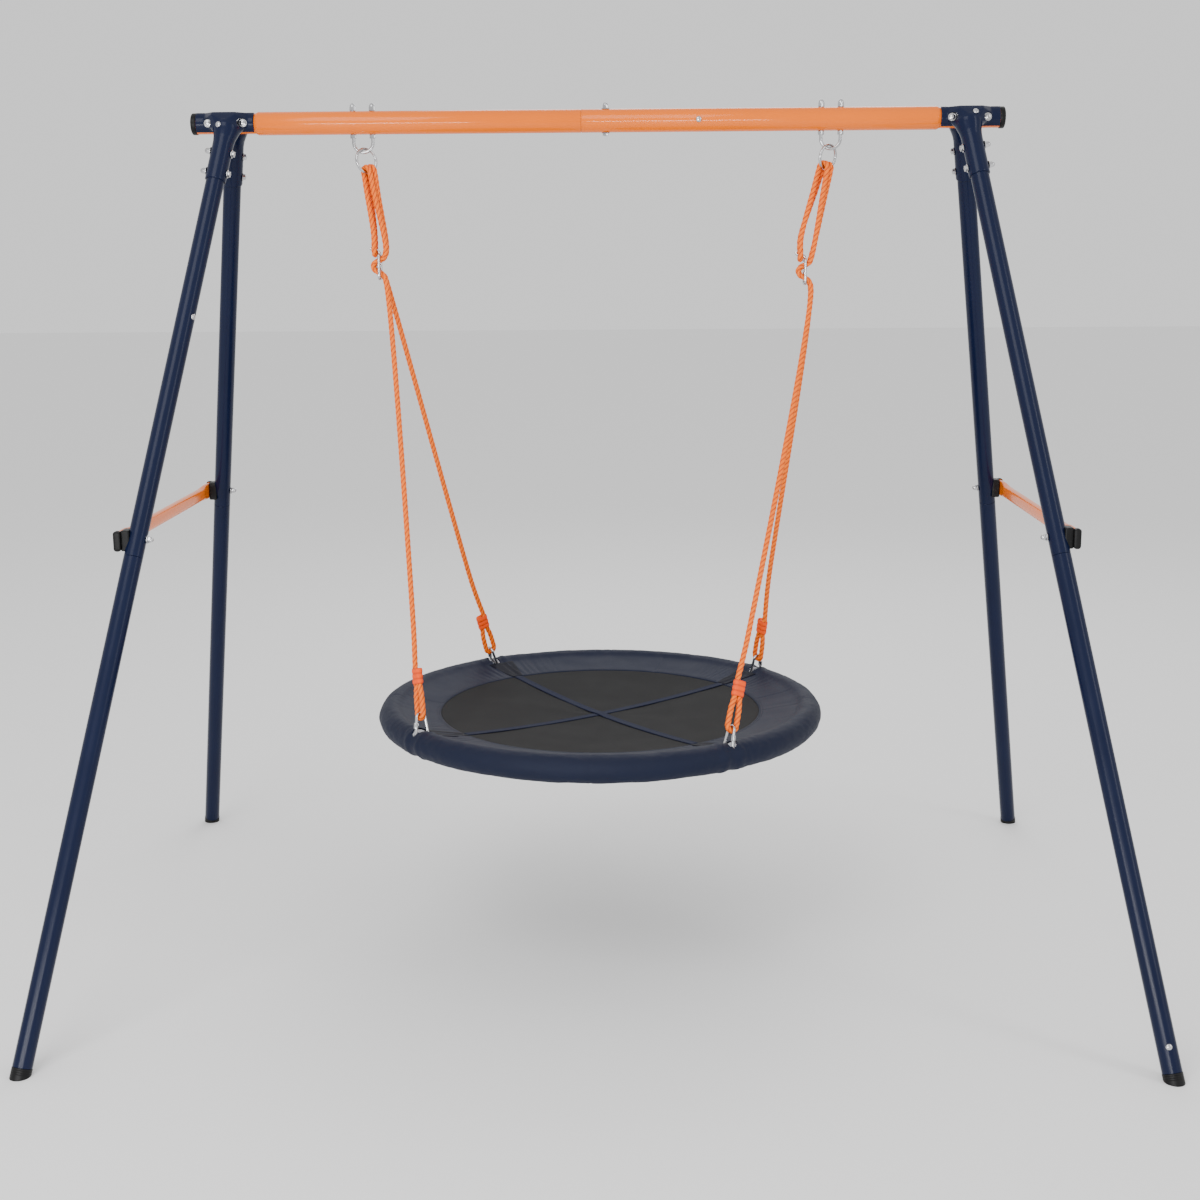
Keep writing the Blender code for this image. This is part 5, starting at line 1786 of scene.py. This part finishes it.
@dataclass
class Seat:
    """The padded rim, its foam and hoop, the mat and the crossed straps."""

    shop: Workshop
    hangers: Hangers
    radius: float = 0.461
    height: float = 0.517
    cover_radius: float = 0.0286
    cloth: float = 0.0014
    foam_radius: float = 0.0262
    foam_inner: float = 0.0129
    edge_radius: float = 0.3545
    strap_width: float = 0.020
    sag: float = 0.014
    around: int = 720
    tube_seams: tuple[float, ...] = (-91.0, 178.0, 88.0, -2.0)
    band_seams: tuple[float, ...] = (-93.0, -109.0, 174.0, 12.0, -4.0, 70.0, 108.0)

    def build(self) -> None:
        """Build every piece of the seat."""
        self.build_foam()
        self.build_cover()
        self.build_mat()
        self.build_straps()
        self.build_patches()
        self.build_stitching()
        self.shop.dress("seat_hoop", self.shop.palette.zinc)

    def slit_azimuths(self) -> list[float]:
        """Azimuths of the four slits."""
        return [self.hangers.attach_azimuth(side, end) for side in SIDES.values() for end in ENDS.values()]

    def slit_distance(self, azimuth: float) -> float:
        """Arc length from an azimuth to the nearest slit."""
        gaps = [abs((azimuth - slit + math.pi) % (2 * math.pi) - math.pi) for slit in self.slit_azimuths()]
        return min(gaps) * self.radius

    def groove(self, azimuth: float, places: Sequence[float], width: float) -> float:
        """How deep in the nearest of several seams an azimuth lies, from 0 to 1."""
        gaps = [abs((azimuth - math.radians(place) + math.pi) % (2 * math.pi) - math.pi) for place in places]
        return math.exp(-(min(gaps) * self.radius / width) ** 2)

    def section(self, azimuth: float) -> list[tuple[float, float]]:
        """The cover's section at one azimuth.

        Args:
            azimuth: Angle about the seat's middle.

        Returns:
            Points (distance from the middle, height above the hoop): the tube from its inner top
            round to its inner bottom, the band's underside in to its edge, and its top back out.
        """
        distance = self.slit_distance(azimuth)
        pinch = math.exp(-(distance / 0.0085) ** 4)
        cuff = math.exp(-((distance - 0.019) / 0.0065) ** 2)
        gather = math.exp(-(distance / 0.10) ** 2)
        seam = self.groove(azimuth, self.tube_seams, 0.0022)
        points = []
        tube_points = 44
        for index in range(tube_points):
            angle = math.radians(122.0 - 244.0 * index / (tube_points - 1))
            outward = max(0.0, math.cos(angle - math.radians(-20.0)))
            here = Vector((azimuth * 9.0, math.sin(angle) * 1.1, math.cos(angle) * 1.1))
            fold = 0.0011 * noise.noise(here) + 0.0006 * noise.noise(here * 3.1)
            crease = gather * 0.0011 * noise.noise(Vector((azimuth * 48.0, 1.4 * math.sin(angle), angle)))
            drape = 0.0012 * outward * (1.0 - gather)
            radius = self.cover_radius + fold + crease + drape + 0.0019 * cuff - 0.0016 * pinch - 0.0009 * seam
            radius = max(radius, self.foam_radius + self.cloth + 0.0003)
            points.append((self.radius + radius * math.cos(angle), radius * math.sin(angle)))
        top_start, low_start = points[0], points[-1]
        band_points = 16
        tuck = self.groove(azimuth, self.band_seams, 0.0020)
        lower = []
        upper = []
        for index in range(1, band_points + 1):
            share = index / band_points
            ease = math.sin(math.pi * share)
            radius = low_start[0] + (self.edge_radius - low_start[0]) * share
            dip = share ** 0.62
            broad = 0.0022 * noise.noise(Vector((azimuth * 7.0, share * 1.5, 3.0)))
            drift = 4.0 * noise.noise(Vector((azimuth * 20.0, share, 0.0)))
            rays = gather * 0.0012 * math.sin(azimuth * 150.0 + drift)
            lift = (broad + rays) * ease - 0.0011 * tuck * min(1.0, 4.0 * ease)
            lower.append((radius, low_start[1] * (1 - dip) - 0.0018 * dip))
            upper.append((radius, top_start[1] * (1 - dip) + 0.0020 * dip + lift))
        return [*points, *lower, *reversed(upper)]

    def band_height(self, azimuth: float, radius: float) -> float:
        """Height above the hoop of the band's top at a distance from the middle.

        Args:
            azimuth: Angle round the seat.
            radius: Distance from the middle.

        Returns:
            The height.
        """
        line = self.section(azimuth)[-16:]
        for (near, low), (far, high) in zip(line, line[1:]):
            if radius <= far:
                return low + (high - low) * max(0.0, (radius - near) / (far - near))
        return line[-1][1]

    def build_cover(self) -> None:
        """The sewn cover: a sculpted tube and band with four slits for the links."""
        bm = bmesh.new()
        uv = bm.loops.layers.uv.new("UVMap")
        rings = []
        for step in range(self.around):
            azimuth = 2 * math.pi * step / self.around
            rings.append([bm.verts.new((radius * math.cos(azimuth), radius * math.sin(azimuth),
                                        self.height + lift)) for radius, lift in self.section(azimuth)])
        bridge_rings(bm, rings, closed_rows=True)
        count = len(rings[0])
        bm.verts.index_update()
        bm.faces.ensure_lookup_table()
        for row in range(self.around):
            for column in range(count):
                face = bm.faces[row * count + column]
                corners = ((row, column), (row, column + 1), (row + 1, column + 1), (row + 1, column))
                for loop, (along, across) in zip(face.loops, corners):
                    loop[uv].uv = (along * 2 * math.pi * self.radius / self.around, across * 0.0042)
        slits = [self.hangers.attach_frame(side, end).inverted()
                 for side in SIDES.values() for end in ENDS.values()]
        doomed = []
        for face in bm.faces:
            centre = face.calc_center_median()
            for inverse in slits:
                place = inverse @ centre
                if place.z > 0.010 and (place.x / 0.0225) ** 2 + (place.y / 0.0105) ** 2 < 1.0:
                    doomed.append(face)
                    break
        bmesh.ops.delete(bm, geom=doomed, context="FACES")
        bmesh.ops.recalc_face_normals(bm, faces=bm.faces)
        piece = new_piece("seat_cover_cloth", mesh_from(bm, 180.0), self.shop.palette.cover)
        solid = piece.modifiers.new("cloth", "SOLIDIFY")
        solid.thickness = self.cloth
        solid.offset = -1.0
        apply_modifiers(piece)
        self.shop.hand_over(piece, Body.SEAT, Slot.NAVY_FABRIC, "seat_cover")

    def build_foam(self) -> None:
        """The foam sleeve on the hoop, cut away round each link."""
        loops = []
        for radius, steps in ((self.foam_radius, 32), (self.foam_inner, 24)):
            loops.append([(self.radius + radius * math.cos(2 * math.pi * step / steps),
                           radius * math.sin(2 * math.pi * step / steps)) for step in range(steps)])
        matrix = Matrix.Translation((0.0, 0.0, self.height))
        piece = new_piece("foam_sleeve", mesh_from(lathe(loops[0], matrix, 200, closed=True), 60.0),
                          self.shop.palette.foam)
        steps = [("DIFFERENCE", lathe(loops[1], matrix, 200, closed=True))]
        for side in SIDES.values():
            for end in ENDS.values():
                slot = bmesh.new()
                reach = self.hangers.link_radius + self.hangers.link_wire + 0.0008
                place = self.hangers.attach_frame(side, end) @ Matrix.Translation((0.0, 0.0, (0.060 - reach) / 2))
                bmesh.ops.create_cube(slot, size=1.0, matrix=place @ Matrix.Diagonal(
                    (2 * reach, 0.0125, 0.060 + reach, 1.0)))
                steps.append(("DIFFERENCE", slot))
        carve(piece, steps)
        self.shop.hand_over(piece, Body.SEAT, Slot.FOAM, "seat_foam")

    def mat_lift(self, radius: float) -> float:
        """Height of the mat's surface at a distance from the middle."""
        share = radius / self.edge_radius
        return self.height + 0.0012 - self.sag * (1.0 - share * share)

    def build_mat(self) -> None:
        """The mesh mat, slack in the middle, held all round by the band."""
        bm = bmesh.new()
        uv = bm.loops.layers.uv.new("UVMap")
        spokes, levels = 160, 44
        limit = self.edge_radius + 0.004
        centre = bm.verts.new((0.0, 0.0, self.mat_lift(0.0)))
        rings = []
        for level in range(1, levels + 1):
            radius = limit * level / levels
            ring = []
            for step in range(spokes):
                azimuth = 2 * math.pi * step / spokes
                wave = 0.0008 * noise.noise(Vector((math.cos(azimuth), math.sin(azimuth), radius * 6.0)) * 2.3)
                ring.append(bm.verts.new((radius * math.cos(azimuth), radius * math.sin(azimuth),
                                          self.mat_lift(min(radius, self.edge_radius)) + wave)))
            rings.append(ring)
        bridge_rings(bm, rings)
        for step in range(spokes):
            bm.faces.new((centre, rings[0][step], rings[0][(step + 1) % spokes]))
        for face in bm.faces:
            for loop in face.loops:
                loop[uv].uv = (loop.vert.co.x, loop.vert.co.y)
        bmesh.ops.recalc_face_normals(bm, faces=bm.faces)
        piece = new_piece("mesh_mat", mesh_from(bm, 180.0), self.shop.palette.mat)
        solid = piece.modifiers.new("cloth", "SOLIDIFY")
        solid.thickness = 0.0014
        solid.offset = -1.0
        apply_modifiers(piece)
        self.shop.hand_over(piece, Body.SEAT, Slot.BLACK_MAT, "seat_mat")

    def strap_line(self, quarter: int, offset: float = 0.0, lift: float = 0.0) -> list[Vector]:
        """Centreline of one strap on the mat, from slit to slit.

        Args:
            quarter: 0 for the strap underneath, 1 for the one over it.
            offset: Distance to the side.
            lift: Height above the mat.

        Returns:
            The points.
        """
        azimuth = self.hangers.attach_azimuth(1 if quarter == 0 else -1, 1)
        along = Vector((math.cos(azimuth), math.sin(azimuth), 0.0))
        across = Vector((-along.y, along.x, 0.0))
        length = self.edge_radius + 0.002
        points = []
        for step in range(81):
            distance = length * (step / 40 - 1.0)
            radius = math.hypot(distance, offset)
            hump = 0.0016 * math.exp(-(distance / 0.020) ** 4) if quarter else 0.0
            points.append(along * distance + across * offset + UP * (self.mat_lift(radius) + lift + hump))
        return points

    def build_straps(self) -> None:
        """Two flat webbing straps that cross in the middle of the mat."""
        half = self.strap_width / 2
        for quarter, name in enumerate(("strap_under", "strap_over")):
            bm = bmesh.new()
            uv = bm.loops.layers.uv.new("UVMap")
            lines = [self.strap_line(quarter, half * place / 3, 0.0016) for place in range(-3, 4)]
            rows = [[bm.verts.new(point) for point in row] for row in zip(*lines)]
            bridge_rings(bm, rows, closed_columns=False)
            for face in bm.faces:
                for loop in face.loops:
                    azimuth = self.hangers.attach_azimuth(1 if quarter == 0 else -1, 1)
                    turned = Matrix.Rotation(-azimuth, 2) @ loop.vert.co.xy
                    loop[uv].uv = turned
            bmesh.ops.recalc_face_normals(bm, faces=bm.faces)
            if sum(face.normal.z for face in bm.faces) < 0.0:
                bmesh.ops.reverse_faces(bm, faces=bm.faces)
            piece = new_piece(f"mat_{name}", mesh_from(bm, 180.0), self.shop.palette.strap)
            solid = piece.modifiers.new("webbing", "SOLIDIFY")
            solid.thickness = 0.0012
            solid.offset = -1.0
            apply_modifiers(piece)
            self.shop.hand_over(piece, Body.SEAT, Slot.NAVY_FABRIC, "seat_cross_strap")

    def build_patches(self) -> None:
        """A dark wedge on the band at each attachment, from the mat's edge out to the slit."""
        rows, columns = 14, 10
        inner, outer = self.edge_radius + 0.001, self.radius - 0.024
        for name, azimuth in zip(("front_left", "rear_left", "front_right", "rear_right"), self.slit_azimuths()):
            bm = bmesh.new()
            uv = bm.loops.layers.uv.new("UVMap")
            grid = []
            for row in range(rows + 1):
                share = row / rows
                radius = inner + (outer - inner) * share
                half = (0.012 + 0.020 * share ** 0.8) / radius
                line = []
                for column in range(columns + 1):
                    place = azimuth + half * (2 * column / columns - 1.0)
                    pleat = 0.0007 + 0.0005 * math.sin(9.0 * column / columns + 3.0 * share)
                    line.append(bm.verts.new((radius * math.cos(place), radius * math.sin(place), self.height
                                              + self.band_height(place, radius) + pleat)))
                grid.append(line)
            bridge_rings(bm, grid, closed_columns=False)
            for face in bm.faces:
                for loop in face.loops:
                    loop[uv].uv = loop.vert.co.xy
            bmesh.ops.recalc_face_normals(bm, faces=bm.faces)
            if sum(face.normal.z for face in bm.faces) < 0.0:
                bmesh.ops.reverse_faces(bm, faces=bm.faces)
            piece = new_piece(f"wedge_patch_{name}", mesh_from(bm, 180.0), self.shop.palette.patch)
            solid = piece.modifiers.new("cloth", "SOLIDIFY")
            solid.thickness = 0.0012
            solid.offset = -1.0
            apply_modifiers(piece)
            self.shop.hand_over(piece, Body.SEAT, Slot.NAVY_FABRIC)

    def build_stitching(self) -> None:
        """Stitches along the straps' edges and two rows round the band's inner edge."""
        runs = []
        for quarter in range(2):
            for side in (-1, 1):
                runs.append(self.strap_line(quarter, side * (self.strap_width / 2 - 0.0024), 0.0017))
        lines = self.shop.tools.stitches("strap_stitches", runs, 0.0052, self.shop.palette.thread)
        self.shop.hand_over(lines, Body.SEAT, Slot.NAVY_FABRIC)
        rounds = []
        for inset in (0.004, 0.0085):
            ring = []
            for step in range(360):
                azimuth = 2 * math.pi * step / 360
                radius = self.edge_radius + inset
                lift = self.band_height(azimuth, radius)
                ring.append(Vector((radius * math.cos(azimuth), radius * math.sin(azimuth),
                                    self.height + lift + 0.0001)))
            rounds.append(ring)
        hems = self.shop.tools.stitches("band_stitches", rounds, 0.0052, self.shop.palette.thread, cyclic=True)
        self.shop.hand_over(hems, Body.SEAT, Slot.NAVY_FABRIC)


@dataclass
class Studio:
    """Floor, soft lights and the camera."""

    eye: Vector = field(default_factory=lambda: Vector((0.0946, -3.7884, 1.5281)))
    yaw: float = -0.0246
    pitch: float = 0.1987
    roll: float = 0.0069
    lens: float = 52.41

    def build(self) -> None:
        """Set up the whole studio."""
        self.build_camera()
        self.build_floor()
        self.build_lights()

    def build_camera(self) -> None:
        """The camera, looking slightly down at the swing from the front."""
        data = bpy.data.cameras.new("camera")
        data.lens = self.lens
        data.sensor_width = 36.0
        right = Vector((math.cos(self.yaw), -math.sin(self.yaw), 0.0))
        forward = Vector((math.sin(self.yaw) * math.cos(self.pitch), math.cos(self.yaw) * math.cos(self.pitch),
                          -math.sin(self.pitch)))
        upward = right.cross(forward)
        rolled_right = right * math.cos(self.roll) - upward * math.sin(self.roll)
        rolled_up = right * math.sin(self.roll) + upward * math.cos(self.roll)
        camera = bpy.data.objects.new("camera", data)
        rotation = Matrix((rolled_right, rolled_up, -forward)).transposed().to_4x4()
        camera.matrix_world = Matrix.Translation(self.eye) @ rotation
        bpy.context.scene.collection.objects.link(camera)
        bpy.context.scene.camera = camera

    @staticmethod
    def build_floor() -> None:
        """A wide pale floor."""
        mesh = bpy.data.meshes.new("floor")
        size = 30.0
        mesh.from_pydata([(-size, -size, -0.0005), (size, -size, -0.0005), (size, size, -0.0005),
                          (-size, size, -0.0005)], [], [(0, 1, 2, 3)])
        material, _, shader = blank_material("pale_floor")
        shader.inputs["Base Color"].default_value = (0.90, 0.90, 0.90, 1.0)
        shader.inputs["Roughness"].default_value = 0.9
        new_piece("floor", mesh, material)

    @staticmethod
    def build_lights() -> None:
        """A bright surround with a long soft light over the front and a fill from the side."""
        world = bpy.data.worlds.new("studio")
        world.use_nodes = True
        background = world.node_tree.nodes["Background"]
        background.inputs["Color"].default_value = (1.0, 1.0, 1.0, 1.0)
        background.inputs["Strength"].default_value = 1.0
        bpy.context.scene.world = world
        lamps = (("key", (-1.6, -3.4, 4.2), (2.6, 2.6), 90.0), ("strip", (-1.2, -4.6, 1.05), (3.6, 0.35), 110.0),
                 ("fill", (3.4, -2.0, 2.4), (0.5, 3.0), 30.0), ("back", (0.6, 3.6, 3.8), (2.6, 2.6), 50.0))
        target = Vector((0.0, 0.0, 0.9))
        for name, place, size, power in lamps:
            data = bpy.data.lights.new(name, "AREA")
            data.shape = "RECTANGLE"
            data.size, data.size_y = size
            data.energy = power
            lamp = bpy.data.objects.new(name, data)
            lamp.location = place
            lamp.rotation_euler = (target - Vector(place)).to_track_quat("-Z", "Y").to_euler()
            bpy.context.scene.collection.objects.link(lamp)


def main() -> None:
    """Build the studio and then every sub-assembly in order."""
    logging.basicConfig(level=logging.INFO, format="%(name)s: %(message)s")
    Studio().build()
    shop = Workshop()
    hangers = Hangers(shop)
    hangers.build()
    legs = Legs(shop)
    legs.build()
    Crossbar(shop, legs).build()
    Seat(shop, hangers).build()


if __name__ == "__main__":
    main()
